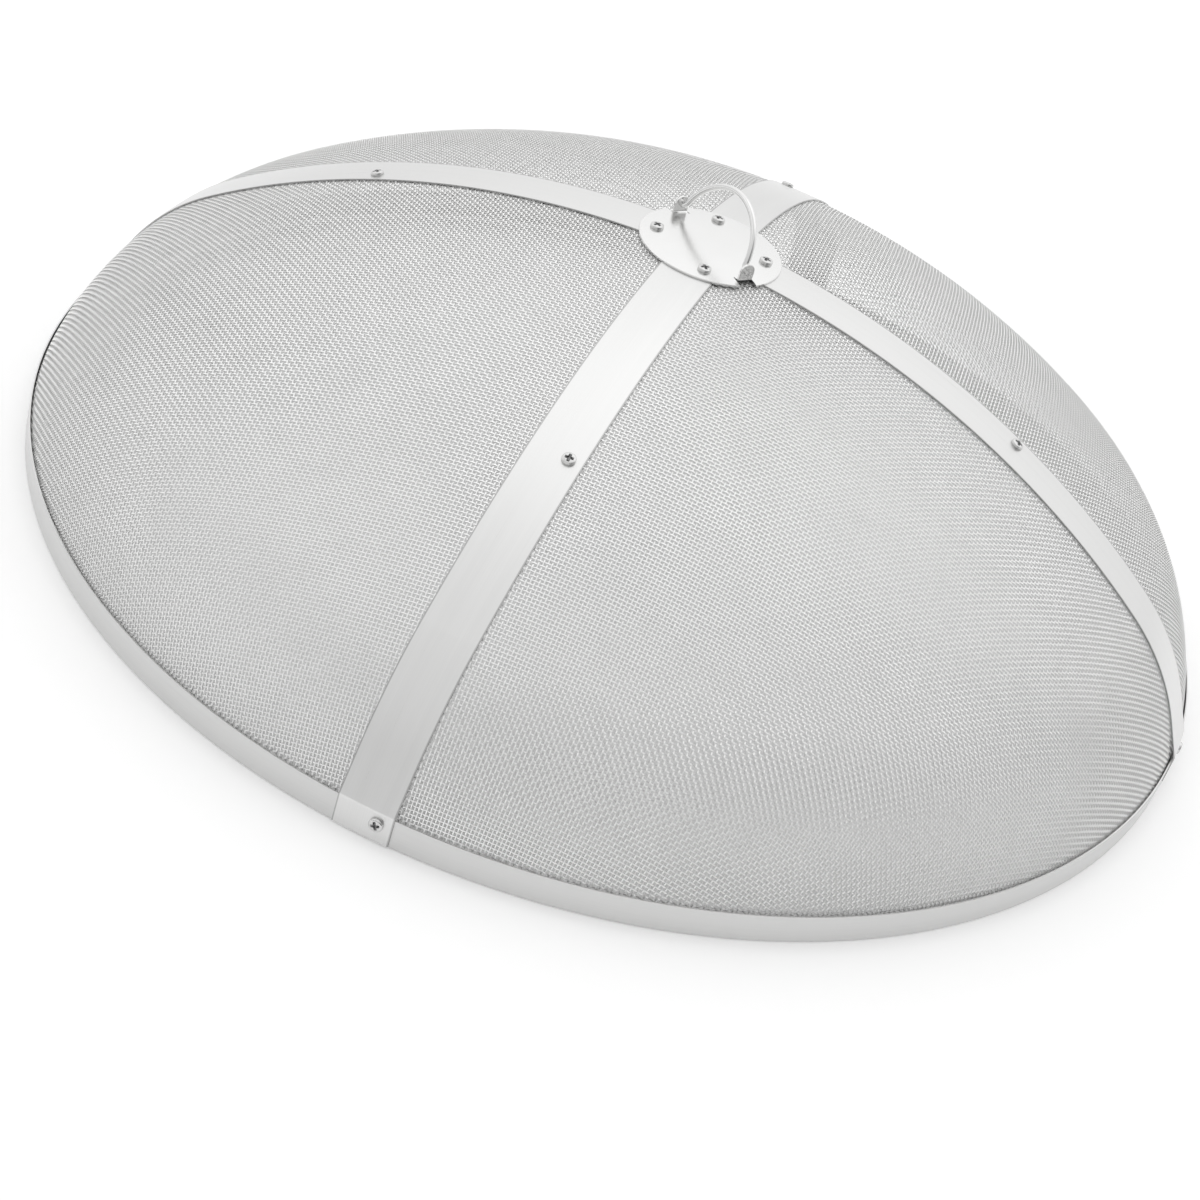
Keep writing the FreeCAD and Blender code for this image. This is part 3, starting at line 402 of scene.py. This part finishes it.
def steel_material(name, group, color, roughness, relief, smudge=None):
    """A metal whose colour, roughness and height come from one group; returns it with the group's node."""
    material = bpy.data.materials.new(name)
    material.use_nodes = True
    tree = material.node_tree
    shader = tree.nodes["Principled BSDF"]
    shader.inputs["Metallic"].default_value = 1.0
    finish = add_node(tree, "ShaderNodeGroup", node_tree=group)
    finish.inputs["Color"].default_value = (*color, 1)
    finish.inputs["Roughness"].default_value = roughness
    if smudge is not None:
        finish.inputs["Smudge"].default_value = smudge
    bump = add_node(tree, "ShaderNodeBump", values={"Strength": BUMP_STRENGTH, "Distance": relief})
    tree.links.new(finish.outputs["Color"], shader.inputs["Base Color"])
    tree.links.new(finish.outputs["Roughness"], shader.inputs["Roughness"])
    tree.links.new(finish.outputs["Height"], bump.inputs["Height"])
    tree.links.new(bump.outputs["Normal"], shader.inputs["Normal"])
    return material, finish


def straight_grain(material, finish, across, sizes):
    """Brush strokes along a straight band: the coordinate across it is stretched, the others are slow."""
    tree = material.node_tree
    place = add_node(tree, "ShaderNodeTexCoord")
    spread = add_node(tree, "ShaderNodeMapping")
    slow, fast = 1 / sizes.grain_length, 1 / sizes.grain_width
    spread.inputs["Scale"].default_value = [fast if axis == across else slow for axis in range(3)]
    tree.links.new(place.outputs["Object"], spread.inputs["Vector"])
    tree.links.new(spread.outputs["Vector"], finish.inputs["Vector"])


def hoop_grain(material, finish, sizes, reach):
    """Brush strokes round the hoop: arc length is slow, height and distance from the axis are fast."""
    tree = material.node_tree
    x, y, z = split_place(tree)
    around = math_node(tree, "ARCTAN2", y, x)
    squares = math_node(tree, "ADD", math_node(tree, "MULTIPLY", x, x), math_node(tree, "MULTIPLY", y, y))
    out = math_node(tree, "SQRT", squares)
    merge = add_node(tree, "ShaderNodeCombineXYZ")
    tree.links.new(math_node(tree, "MULTIPLY", around, reach / sizes.grain_length), merge.inputs[0])
    tree.links.new(math_node(tree, "MULTIPLY", z, 1 / sizes.grain_width), merge.inputs[1])
    tree.links.new(math_node(tree, "MULTIPLY", out, 1 / sizes.grain_width), merge.inputs[2])
    tree.links.new(merge.outputs[0], finish.inputs["Vector"])


def plain_coordinates(material, finish):
    """The piece's own object coordinates."""
    place = add_node(material.node_tree, "ShaderNodeTexCoord")
    material.node_tree.links.new(place.outputs["Object"], finish.inputs["Vector"])


def paint_edge_shade(material, finish, across, sizes):
    """Paints the dark line of edge shade on a band that runs along the other axis."""
    tree = material.node_tree
    edge = add_node(tree, "ShaderNodeGroup", node_tree=shared_group(edge_shade_group, "sheared_edge"))
    edge.inputs["Color"].default_value = finish.inputs["Color"].default_value
    values = {"Half Width": sizes.half_width, "Line": sizes.edge_shade_width, "Tone": sizes.edge_shade_tone}
    for label, value in values.items():
        edge.inputs[label].default_value = value
    tree.links.new(split_place(tree)[across], edge.inputs["Across"])
    tree.links.new(edge.outputs["Color"], finish.inputs["Color"])


def blend_by_share(material, finish, name, far_color, gain):
    """Mixes a metal's colour towards another by a share that its piece keeps for each point, times a gain.

    A Mix node's colour sockets are its inputs 6 and 7 and its output 2.
    """
    tree = material.node_tree
    kept = add_node(tree, "ShaderNodeAttribute", attribute_name=name)
    blend = add_node(tree, "ShaderNodeMix", data_type="RGBA")
    blend.inputs[6].default_value = finish.inputs["Color"].default_value
    blend.inputs[7].default_value = (*far_color, 1)
    share = math_node(tree, "MINIMUM", math_node(tree, "MULTIPLY", kept.outputs["Fac"], gain), 1.0)
    tree.links.new(share, blend.inputs[0])
    tree.links.new(blend.outputs[2], finish.inputs["Color"])


def dress(nodes, material):
    """Gives CAD nodes one material in every slot."""
    for name in nodes:
        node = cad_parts[name]
        node.data.materials.clear()
        node.data.materials.append(material)


# Meshes


def build_object(name, points, faces, material, smooth=True):
    """A mesh object from arrays of points and of faces with the same number of corners."""
    mesh = bpy.data.meshes.new(name)
    mesh.vertices.add(len(points))
    mesh.vertices.foreach_set("co", np.ascontiguousarray(points, dtype=np.float32).ravel())
    mesh.loops.add(faces.size)
    mesh.loops.foreach_set("vertex_index", np.ascontiguousarray(faces, dtype=np.int32).ravel())
    mesh.polygons.add(len(faces))
    mesh.polygons.foreach_set("loop_start", np.arange(0, faces.size, faces.shape[1], dtype=np.int32))
    mesh.polygons.foreach_set("use_smooth", np.full(len(faces), smooth))
    mesh.update(calc_edges=True)
    if mesh.validate():
        raise RuntimeError(name + " has broken faces")
    mesh.materials.append(material)
    item = bpy.data.objects.new(name, mesh)
    bpy.context.scene.collection.objects.link(item)
    return item


def store_share(item, name, values):
    """Keeps a number from 0 to 1 for each point of a piece, for its material to read."""
    layer = item.data.attributes.new(name, "FLOAT", "POINT")
    layer.data.foreach_set("value", values.astype(np.float32))


def dome_arcs(sizes):
    """The crown, shoulder and hem bend of the dome's outer face, three arcs that run into one another.

    The hem bend ends upright against the rim. The shoulder meets it at the shoulder's end angle, so their
    centres lie the difference of their radii apart along that direction. The crown is centred on the axis,
    passes through the dome's height there and touches the shoulder. Returns the arcs' centres as distances
    out and heights, their radii, and the face's turn from level at the end of each.
    """
    hem_out = sizes.rim_radius - sizes.rim_wall - sizes.hem_radius
    apart = sizes.shoulder_radius - sizes.hem_radius
    shoulder_out = hem_out - apart * math.sin(sizes.shoulder_end_angle)
    shoulder_up = sizes.hem_height - apart * math.cos(sizes.shoulder_end_angle)
    rise = sizes.dome_height - shoulder_up
    slack = rise - sizes.shoulder_radius
    crown_radius = (shoulder_out ** 2 + rise ** 2 - sizes.shoulder_radius ** 2) / (2 * slack)
    crown_up = sizes.dome_height - crown_radius
    join = math.atan2(shoulder_out, shoulder_up - crown_up)
    radii = (crown_radius, sizes.shoulder_radius, sizes.hem_radius)
    ends = (join, sizes.shoulder_end_angle, math.pi / 2)
    return (0.0, shoulder_out, hem_out), (crown_up, shoulder_up, sizes.hem_height), radii, ends


def dome_point(run, sizes):
    """The meridian of the dome's outer face at arc length run from the axis.

    The face turns from level by arc length over radius on each arc in turn, and the hem runs straight down
    after them. On each arc the place is its centre plus its radius times (sin turn, cos turn), which is also
    the outward direction. Returns distance out, height, turn and the arc length at which the hem begins to
    run straight.
    """
    centres_out, centres_up, radii, ends = dome_arcs(sizes)
    stations = np.concatenate(([0.0], np.cumsum(np.array(radii) * np.diff((0.0, *ends)))))
    turn = np.interp(run, stations, (0.0, *ends))
    arcs = [run < stations[1], run < stations[2]]
    centre_out = np.select(arcs, centres_out[:2], centres_out[2])
    centre_up = np.select(arcs, centres_up[:2], centres_up[2])
    radius = np.select(arcs, radii[:2], radii[2])
    out = centre_out + radius * np.sin(turn)
    up = centre_up + radius * np.cos(turn) - np.maximum(run - stations[3], 0.0)
    return out, up, turn, stations[3]


def weave_frame(sizes, weave):
    """Every crossing of the weave: a flat square grid whose distances from the hub are laid along the dome.

    Crossing (i, j) lies at pitch * (i, j) on the flat sheet, turned by the weave's turn. Its distance from the
    middle becomes arc length down the dome and its bearing stays. Returns the points on the dome's outer face,
    their outward directions, the directions of both wire families along the face, and where wire exists.
    """
    reach = dome_point(np.zeros(1), sizes)[3] + sizes.hem_height - sizes.hem_end
    count = int(reach / weave.pitch) + 1
    steps = (np.arange(-count, count + 1) + 0.5) * weave.pitch
    flat_i, flat_j = np.meshgrid(steps, steps, indexing="ij")
    flat_x = flat_i * math.cos(weave.turn) - flat_j * math.sin(weave.turn)
    flat_y = flat_i * math.sin(weave.turn) + flat_j * math.cos(weave.turn)
    run, bearing = np.hypot(flat_x, flat_y), np.arctan2(flat_y, flat_x)
    out, up, turn, _ = dome_point(run, sizes)
    cos_b, sin_b = np.cos(bearing), np.sin(bearing)
    points = np.stack((out * cos_b, out * sin_b, up), axis=-1)
    outward = np.stack((np.sin(turn) * cos_b, np.sin(turn) * sin_b, np.cos(turn)), axis=-1)
    down = np.stack((np.cos(turn) * cos_b, np.cos(turn) * sin_b, -np.sin(turn)), axis=-1)
    around = np.stack((-sin_b, cos_b, np.zeros_like(bearing)), axis=-1)
    squeeze = (out / run)[..., None]
    families = []
    for lean in (weave.turn, weave.turn + math.pi / 2):
        along = np.cos(lean - bearing)[..., None] * down + np.sin(lean - bearing)[..., None] * squeeze * around
        families.append(along / np.linalg.norm(along, axis=-1, keepdims=True))
    wired = (run < reach) & (out > sizes.hub_hole + weave.wire)
    return points, outward, families, wired


def wire_family(points, outward, along, keep, lift, weave):
    """Wires through the kept crossings, one after the other along the first axis.

    Each wire has a three-cornered section, one corner inward and two to the sides, carried from crossing to
    crossing. Its centre is the point on the face, in by one wire less lift times half a wire. A kept crossing
    without a kept neighbour gets no wire. Returns corner points, faces and ends that close every wire, and
    the lift of each corner.
    """
    half = weave.wire / 2
    side = half * np.cross(outward, along)
    raised = WIRE_SHOULDER * half * outward
    centre = points + outward * (lift * half - weave.wire)[..., None]
    corners = np.stack((centre - half * outward, centre - side + raised, centre + side + raised), axis=-2)
    before = np.zeros_like(keep)
    before[1:] = keep[:-1]
    after = np.zeros_like(keep)
    after[:-1] = keep[1:]
    keep = keep & (before | after)
    number = np.full(keep.shape, -1)
    number[keep] = np.arange(keep.sum())
    linked = keep[:-1] & keep[1:]
    near, far = number[:-1][linked] * WIRE_CORNERS, number[1:][linked] * WIRE_CORNERS
    walls = [np.stack((near + a, near + b, far + b, far + a), axis=-1) for a, b in ((0, 1), (1, 2), (2, 0))]
    first, last = number[keep & ~before] * WIRE_CORNERS, number[keep & ~after] * WIRE_CORNERS
    caps = [np.stack((first, first + 2, first + 1), axis=-1), np.stack((last, last + 1, last + 2), axis=-1)]
    lifts = np.repeat(lift[keep], WIRE_CORNERS)
    return corners[keep].reshape(-1, 3), np.concatenate(walls), np.concatenate(caps), lifts


def split_quads(quads):
    """Triangles of four-cornered faces."""
    return np.concatenate((quads[:, (0, 1, 2)], quads[:, (0, 2, 3)]))


def quarter_mask(points, quarter, edge):
    """True where a point lies in that quarter, clear of its arms."""
    x, y = points[..., 0], points[..., 1]
    right = quarter.endswith("right")
    back = quarter.startswith("back")
    return ((x if right else -x) > edge) & ((y if back else -y) > edge)


def screw_seats(dome, sizes):
    """Where each ring's screw beside the right arm sits: name, seat under its head, axis and length.

    On the crown the axis is the dome's own outward direction: its lean from upright has the circle's radius
    over that of the bands' outer face as its sine, and its bearing has the offset over the circle's radius.
    On the rim the axis is level.
    """
    _, centres_up, radii, _ = dome_arcs(dome)
    seats = []
    for name, circle, lift, length in (
        ("hub", sizes.hub_circle, sizes.hub_lift, sizes.hub_length),
        ("band", sizes.band_circle, sizes.band_lift, sizes.band_length),
    ):
        lean = math.asin(circle / (radii[0] + sizes.band_face))
        bearing = math.asin(sizes.beside / circle)
        level = math.sin(lean)
        axis = np.array((level * math.cos(bearing), level * math.sin(bearing), math.cos(lean)))
        seat = axis * (radii[0] + lift) + np.array((0, 0, centres_up[0]))
        seats.append((name, seat, axis, length))
    bearing = math.asin(sizes.beside / dome.rim_radius)
    axis = np.array((math.cos(bearing), math.sin(bearing), 0.0))
    seat = axis * (dome.rim_radius + sizes.rim_lift) + np.array((0, 0, sizes.rim_height))
    seats.append(("rim", seat, axis, sizes.rim_length))
    return seats


def clear_of_screws(points, seats, clearance):
    """True where a point is further than the clearance from the axis of every screw, at all four arms."""
    clear = np.ones(points.shape[:-1], dtype=bool)
    for _, seat, axis, length in seats:
        for spin in quarter_turns():
            away = points - spin @ seat
            along = away @ (spin @ axis)
            off = np.sqrt(np.maximum((away ** 2).sum(axis=-1) - along ** 2, 0.0))
            clear &= (off > clearance) | (np.abs(along) > length)
    return clear


def quarter_turns():
    """The four turns about the upright axis that carry the right arm to each arm."""
    return [np.array(Matrix.Rotation(quarter * math.pi / 2, 3, "Z")) for quarter in range(SCREWS_PER_RING)]


def head_profile(out, sizes):
    """Height of the pan head's top at a distance out.

    Over the upright side stands the square root of one less the distance's share of the radius to a power.
    """
    ratio = np.clip(out / sizes.head_radius, 0, 1)
    crest = np.sqrt(np.clip(1 - ratio ** HEAD_CURVE, 0, 1))
    return sizes.head_height * HEAD_SIDE + sizes.head_height * (1 - HEAD_SIDE) * crest


def recess_depth(out, angle, sizes):
    """Depth of the cross recess: full on the two arms' middles, falling to none at their sides and ends."""
    x, y = out * np.cos(angle), out * np.sin(angle)
    depth = np.zeros_like(out)
    for along, across in ((np.abs(x), np.abs(y)), (np.abs(y), np.abs(x))):
        side = np.clip((sizes.recess_width - across) / (RECESS_SLOPE * sizes.recess_width), 0, 1)
        end = np.clip((sizes.recess_reach - along) / (RECESS_RUNOUT * sizes.recess_reach), 0, 1)
        depth = np.maximum(depth, side * end)
    return depth * sizes.recess_depth


def ring_faces(rows, columns):
    """Faces of a grid whose columns close into rings, pointing outwards when rows run from the top down."""
    row, column = np.meshgrid(np.arange(rows - 1), np.arange(columns), indexing="ij")
    after = (column + 1) % columns
    upper, lower = row * columns, (row + 1) * columns
    return np.stack((upper + column, lower + column, lower + after, upper + after), axis=-1).reshape(-1, 4)


def screw_surface(length, sizes):
    """One screw, head up along +Z with its head's underside at the origin.

    Rows run from the head's middle over its top and side, in under it and down the shank to the tip. On the
    head the height is the pan profile less the recess; on the shank the radius is the thread's: its outer
    radius less a depth that rises and falls with height / pitch + angle / one turn. Returns points, faces and
    how deep in the recess each point lies, from 0 to 1.
    """
    columns = SCREW_COLUMNS
    angle = np.arange(columns) * 2 * math.pi / columns
    top = np.concatenate((np.linspace(*RECESS_ROWS), np.linspace(*CREST_ROWS))) * sizes.head_radius
    out = np.repeat(top[:, None], columns, axis=1)
    turned = np.repeat(angle[None, :], len(top), axis=0)
    sunk = recess_depth(out, turned, sizes)
    up = head_profile(out, sizes) - sunk
    side = np.linspace(sizes.head_height * HEAD_SIDE, 0, SIDE_ROWS)[1:]
    out = np.concatenate((out, np.full((len(side), columns), sizes.head_radius)))
    up = np.concatenate((up, np.repeat(side[:, None], columns, axis=1)))
    steps = np.linspace(0, -length, int(length / sizes.thread_pitch * ROWS_PER_TURN))
    low = np.repeat(steps[:, None], columns, axis=1)
    phase = (low / sizes.thread_pitch + angle[None, :] / (2 * math.pi)) % 1.0
    cut = THREAD_DEPTH * sizes.thread_pitch * np.abs(2 * phase - 1)
    taper = np.clip((low + length) / (TIP_RUN * sizes.thread_pitch), 0, 1)
    shank = sizes.shank_radius - cut - TIP_DROP * sizes.thread_pitch * (1 - taper)
    out = np.concatenate((out, shank, np.full((1, columns), TIP_END * sizes.shank_radius)))
    up = np.concatenate((up, low, low[-1:]))
    around = np.repeat(angle[None, :], len(out), axis=0)
    points = np.stack((out * np.cos(around), out * np.sin(around), up), axis=-1).reshape(-1, 3)
    deep = np.zeros(len(points))
    deep[: sunk.size] = sunk.ravel() / sizes.recess_depth
    return points, ring_faces(len(out), columns), deep


def closed_ends(points, quads, columns):
    """Closes both ends of a ringed surface with a fan to its middle; returns points and triangles."""
    last = len(points) - columns
    tops = points[:columns].mean(axis=0), points[last:].mean(axis=0)
    ring = np.arange(columns)
    after = (ring + 1) % columns
    crown = np.stack((np.full(columns, len(points)), ring, after), axis=-1)
    foot = np.stack((np.full(columns, len(points) + 1), last + after, last + ring), axis=-1)
    return np.concatenate((points, tops)), np.concatenate((split_quads(quads), crown, foot))


def stand_screw(points, seat, axis):
    """Turns points from +Z to a unit axis that leans from it, and moves them to their seat."""
    side = np.cross((0.0, 0.0, 1.0), axis)
    side = side / np.linalg.norm(side)
    basis = np.stack((side, np.cross(axis, side), axis))
    return points @ basis + seat


def ring_of_four(points, triangles, seat, axis, draw):
    """Four copies at a seat, a quarter turn apart round the dome's axis, each screwed to a turn of its own."""
    all_points, all_faces = [], []
    for number, spin in enumerate(quarter_turns()):
        screwed = np.array(Matrix.Rotation(draw.uniform(0, math.pi / 2), 3, "Z"))
        stood = stand_screw(points @ screwed.T, seat, axis)
        all_points.append(stood @ spin.T)
        all_faces.append(triangles + number * len(points))
    return np.concatenate(all_points), np.concatenate(all_faces)


# Operators


class SPARK_OT_weave(bpy.types.Operator):
    """Weave the four wire panels over the dome"""

    bl_idname = "spark.weave"
    bl_label = "Wire panels"

    def execute(self, context):
        sizes, weave, screws = context.scene.spark_dome, context.scene.spark_weave, context.scene.spark_screws
        points, outward, families, wired = weave_frame(sizes, weave)
        wired &= clear_of_screws(points, screw_seats(sizes, screws), screws.clearance)
        group = shared_group(handled_group, "handled_steel")
        material, finish = steel_material(
            "woven_wire", group, weave.color, weave.roughness, weave.relief, weave.smudge
        )
        plain_coordinates(material, finish)
        # Paints a highlight on the knuckles that pass over, and painted shade where the wires dip under
        blend_by_share(material, finish, "knuckle", weave.knuckle_highlight_color, 1.0)
        rows, columns = np.indices(wired.shape)
        lift = np.where((rows + columns) % 2 == 0, 1.0, -1.0)
        for quarter in QUARTERS:
            keep = wired & quarter_mask(points, quarter, weave.edge)
            warp = (points, outward, families[0], keep, lift)
            weft = [np.swapaxes(array, 0, 1) for array in (points, outward, families[1], keep, -lift)]
            pieces = []
            for label, arrays in (("warp", warp), ("weft", weft)):
                corners, walls, caps, raised = wire_family(*arrays, weave)
                faces = np.concatenate((split_quads(walls), caps))
                name = "wires_%s_%s" % (label, quarter)
                item = build_object(name, corners, faces, material, smooth=False)
                # Keeps, for each corner, how far it lies from a dip (painted shade) towards a knuckle (painted
                # highlight)
                store_share(item, "knuckle", 0.5 + 0.5 * raised)
                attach(item, "screen")
                pieces.append(item)
            for item in pieces:
                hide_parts("mesh_panel_" + quarter)
        return {"FINISHED"}


class SPARK_OT_sheets(bpy.types.Operator):
    """Brush the bands, the rim, the strips and the clamping disc"""

    bl_idname = "spark.sheets"
    bl_label = "Brushed sheets"

    def execute(self, context):
        sizes = context.scene.spark_sheet
        group = shared_group(brushed_group, "brushed_grain")
        ways = (("satin_sideways", 1, ("right", "left")), ("satin_lengthways", 0, ("back", "front")))
        for name, across, arms in ways:
            material, finish = steel_material(name, group, sizes.color, sizes.roughness, sizes.relief)
            straight_grain(material, finish, across, sizes)
            # Paints shade along the edges of the bands and strips
            paint_edge_shade(material, finish, across, sizes)
            dress([kind + arm for arm in arms for kind in ("cover_band_", "seam_strip_")], material)
        # The rim's darker colour is painted shade on the same satin sheet
        material, finish = steel_material(
            "satin_hoop", group, sizes.hoop_shade_color, sizes.hoop_roughness, sizes.relief
        )
        hoop_grain(material, finish, sizes, context.scene.spark_dome.rim_radius)
        dress(["rim_channel_" + quarter for quarter in QUARTERS], material)
        material, finish = steel_material("satin_disc", group, sizes.color, sizes.disc_roughness, sizes.relief)
        straight_grain(material, finish, 0, sizes)
        dress(["hub_clamping_disc"], material)
        return {"FINISHED"}


class SPARK_OT_plate(bpy.types.Operator):
    """Polish the top plate and draw the handle's wire"""

    bl_idname = "spark.plate"
    bl_label = "Plate and handle"

    def execute(self, context):
        sizes = context.scene.spark_plate
        group = shared_group(handled_group, "handled_steel")
        for name, node, color, roughness in (
            ("polished_plate", "top_plate", sizes.plate_color, sizes.plate_roughness),
            ("drawn_wire", "lift_handle", sizes.handle_color, sizes.handle_roughness),
        ):
            material, finish = steel_material(name, group, color, roughness, sizes.relief, sizes.smudge)
            plain_coordinates(material, finish)
            dress([node], material)
        return {"FINISHED"}


class SPARK_OT_screws(bpy.types.Operator):
    """Turn the twelve cross recess screws and dress the nuts and washers"""

    bl_idname = "spark.screws"
    bl_label = "Screws"

    def execute(self, context):
        sizes = context.scene.spark_screws
        group = shared_group(handled_group, "handled_steel")
        plain, finish = steel_material(
            "plain_fastener", group, sizes.color, sizes.roughness, sizes.relief, sizes.smudge
        )
        plain_coordinates(plain, finish)
        recessed, finish = steel_material(
            "recessed_screw", group, sizes.color, sizes.head_roughness, sizes.relief, sizes.smudge
        )
        plain_coordinates(recessed, finish)
        # Paints shade into the cross recess, darker the deeper a point lies
        blend_by_share(recessed, finish, "recess", sizes.recess_shade_color, RECESS_SHADE_GAIN)
        draw = np.random.default_rng(DRAW_SEED)
        for ring, seat, axis, length in screw_seats(context.scene.spark_dome, sizes):
            dress([ring + "_washers", ring + "_nuts"], plain)
            points, quads, deep = screw_surface(length, sizes)
            points, triangles = closed_ends(points, quads, SCREW_COLUMNS)
            points, triangles = ring_of_four(points, triangles, seat, axis, draw)
            item = build_object("cross_recess_screws_" + ring, points, triangles, recessed)
            store_share(item, "recess", np.tile(np.append(deep, (1.0, 0.0)), SCREWS_PER_RING))
            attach(item, "screen")
            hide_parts(ring + "_screws")
        return {"FINISHED"}


class SPARK_OT_studio(bpy.types.Operator):
    """Set up the camera, the lamps and the white floor"""

    bl_idname = "spark.studio"
    bl_label = "Studio"

    def execute(self, context):
        sizes = context.scene.spark_studio
        place_camera(context.scene, sizes)
        place_floor(sizes)
        for name, place, width, power in LAMPS:
            add_panel(name, place, width, getattr(sizes, power))
        place_sky(context.scene, sizes)
        return {"FINISHED"}


# Stage


def place_camera(scene, sizes):
    """The photograph's camera, from its place and three directions."""
    data = bpy.data.cameras.new("camera")
    data.lens = sizes.lens
    data.sensor_width = sizes.sensor
    data.clip_start = 0.01
    data.clip_end = 50
    camera = bpy.data.objects.new("camera", data)
    scene.collection.objects.link(camera)
    rows = zip(CAMERA_RIGHT, CAMERA_UP, [-part for part in CAMERA_FORWARD], CAMERA_PLACE)
    camera.matrix_world = Matrix((*rows, (0, 0, 0, 1)))
    scene.camera = camera
    scene.view_settings.view_transform = "Standard"


def seen_or_mirrored(tree):
    """One where the camera sees a surface straight, in metal or through glass, else none."""
    path = add_node(tree, "ShaderNodeLightPath")
    mirrored = math_node(tree, "MAXIMUM", path.outputs["Is Glossy Ray"], path.outputs["Is Transmission Ray"])
    return math_node(tree, "MAXIMUM", path.outputs["Is Camera Ray"], mirrored)


def floor_material(sizes):
    """Lifted to white where it is seen, and painted darker and unlifted under the dome, as a painted shadow of
    the screen.
    """
    material = bpy.data.materials.new("white_floor")
    material.use_nodes = True
    tree = material.node_tree
    shader = tree.nodes["Principled BSDF"]
    place = add_node(tree, "ShaderNodeTexCoord")
    away = add_node(tree, "ShaderNodeVectorMath", operation="LENGTH")
    tree.links.new(place.outputs["Object"], away.inputs[0])
    span = (sizes.shade_radius - sizes.shade_blend, sizes.shade_radius + sizes.shade_blend)
    is_open = mapped(tree, away.outputs["Value"], span, (0.0, 1.0))
    # Painted shadow: the floor under the dome keeps the darker shaded tone and gets no lift
    step = math_node(tree, "MULTIPLY", is_open, sizes.floor_tone - sizes.shade_tone)
    tree.links.new(math_node(tree, "ADD", step, sizes.shade_tone), shader.inputs["Base Color"])
    glow = math_node(tree, "MULTIPLY", is_open, sizes.floor_lift)
    glow = math_node(tree, "MULTIPLY", seen_or_mirrored(tree), glow)
    tree.links.new(glow, shader.inputs["Emission Strength"])
    shader.inputs["Emission Color"].default_value = (1, 1, 1, 1)
    shader.inputs["Roughness"].default_value = sizes.floor_roughness
    shader.inputs["Specular IOR Level"].default_value = 0.0
    return material


def place_floor(sizes):
    """A wide square floor just below the rim, which keeps the object's soft shadow."""
    reach = sizes.floor_reach
    ends = ((-reach, -reach), (reach, -reach), (reach, reach), (-reach, reach))
    corners = [(x, y, -sizes.floor_drop) for x, y in ends]
    mesh = bpy.data.meshes.new("floor")
    mesh.from_pydata(corners, [], [(0, 1, 2, 3)])
    mesh.materials.append(floor_material(sizes))
    floor = bpy.data.objects.new("floor", mesh)
    bpy.context.scene.collection.objects.link(floor)


def add_panel(name, place, width, power):
    """A square soft light panel at a place, turned to the lamps' target."""
    data = bpy.data.lights.new(name, "AREA")
    data.shape = "SQUARE"
    data.size = width
    data.energy = power
    lamp = bpy.data.objects.new(name, data)
    bpy.context.scene.collection.objects.link(lamp)
    away = (Vector(place) - Vector(LAMP_TARGET)).normalized()
    lamp.matrix_world = Matrix.Translation(place) @ away.to_track_quat("Z", "Y").to_matrix().to_4x4()


def place_sky(scene, sizes):
    """Soft light from all round, darker low down, in front and on one side; plain white to the camera."""
    world = bpy.data.worlds.new("studio_sky")
    scene.world = world
    world.use_nodes = True
    tree = world.node_tree
    shade = tree.nodes["Background"]
    place = add_node(tree, "ShaderNodeTexCoord")
    split = add_node(tree, "ShaderNodeSeparateXYZ")
    side = add_node(tree, "ShaderNodeVectorMath", operation="DOT_PRODUCT")
    side.inputs[1].default_value = DARK_SIDE
    for node in (split, side):
        tree.links.new(place.outputs["Generated"], node.inputs[0])
    height = mapped(tree, split.outputs[2], SKY_HEIGHT_SPAN, (sizes.sky_low, 1.0))
    depth = mapped(tree, split.outputs[1], SKY_DEPTH_SPAN, (sizes.sky_front, sizes.sky_back), smooth=True)
    dark = mapped(tree, side.outputs["Value"], DARK_SPAN, (1.0, sizes.sky_dark), smooth=True)
    path = add_node(tree, "ShaderNodeLightPath")
    choose = add_node(tree, "ShaderNodeMix", data_type="FLOAT")
    bright = math_node(tree, "MULTIPLY", height, depth)
    tree.links.new(path.outputs["Is Camera Ray"], choose.inputs[0])
    tree.links.new(math_node(tree, "MULTIPLY", bright, dark), choose.inputs[2])
    choose.inputs[3].default_value = 1.0
    tree.links.new(choose.outputs[0], shade.inputs["Strength"])
    shade.inputs["Color"].default_value = (1, 1, 1, 1)


# Add-on


class SPARK_PT_panel(bpy.types.Panel):
    """The spark screen's sizes and steps"""

    bl_idname = "SPARK_PT_panel"
    bl_label = "Spark Screen"
    bl_space_type = "VIEW_3D"
    bl_region_type = "UI"
    bl_category = "Spark Screen"

    def draw(self, context):
        for step in STEPS:
            self.layout.operator("spark." + step)
        for group in GROUPS:
            box = self.layout.box()
            settings = getattr(context.scene, group)
            for label in settings.__annotations__:
                box.prop(settings, label)


GROUPS = {
    "spark_dome": DomeSizes,
    "spark_weave": WeaveSizes,
    "spark_sheet": SheetSizes,
    "spark_plate": PlateSizes,
    "spark_screws": ScrewSizes,
    "spark_studio": StudioSizes,
}
STEPS = ("studio", "weave", "sheets", "plate", "screws")
OPERATORS = (SPARK_OT_studio, SPARK_OT_weave, SPARK_OT_sheets, SPARK_OT_plate, SPARK_OT_screws)


def register():
    """Registers the settings, steps and panel."""
    for label, kind in GROUPS.items():
        bpy.utils.register_class(kind)
        setattr(bpy.types.Scene, label, bpy.props.PointerProperty(type=kind))
    for kind in (*OPERATORS, SPARK_PT_panel):
        bpy.utils.register_class(kind)


def unregister():
    """Takes them away again."""
    for kind in (SPARK_PT_panel, *reversed(OPERATORS)):
        bpy.utils.unregister_class(kind)
    for label, kind in reversed(GROUPS.items()):
        delattr(bpy.types.Scene, label)
        bpy.utils.unregister_class(kind)


def main():
    """Registers the add-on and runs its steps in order."""
    register()
    for step in STEPS:
        getattr(bpy.ops.spark, step)()


if __name__ == "__main__":
    main()
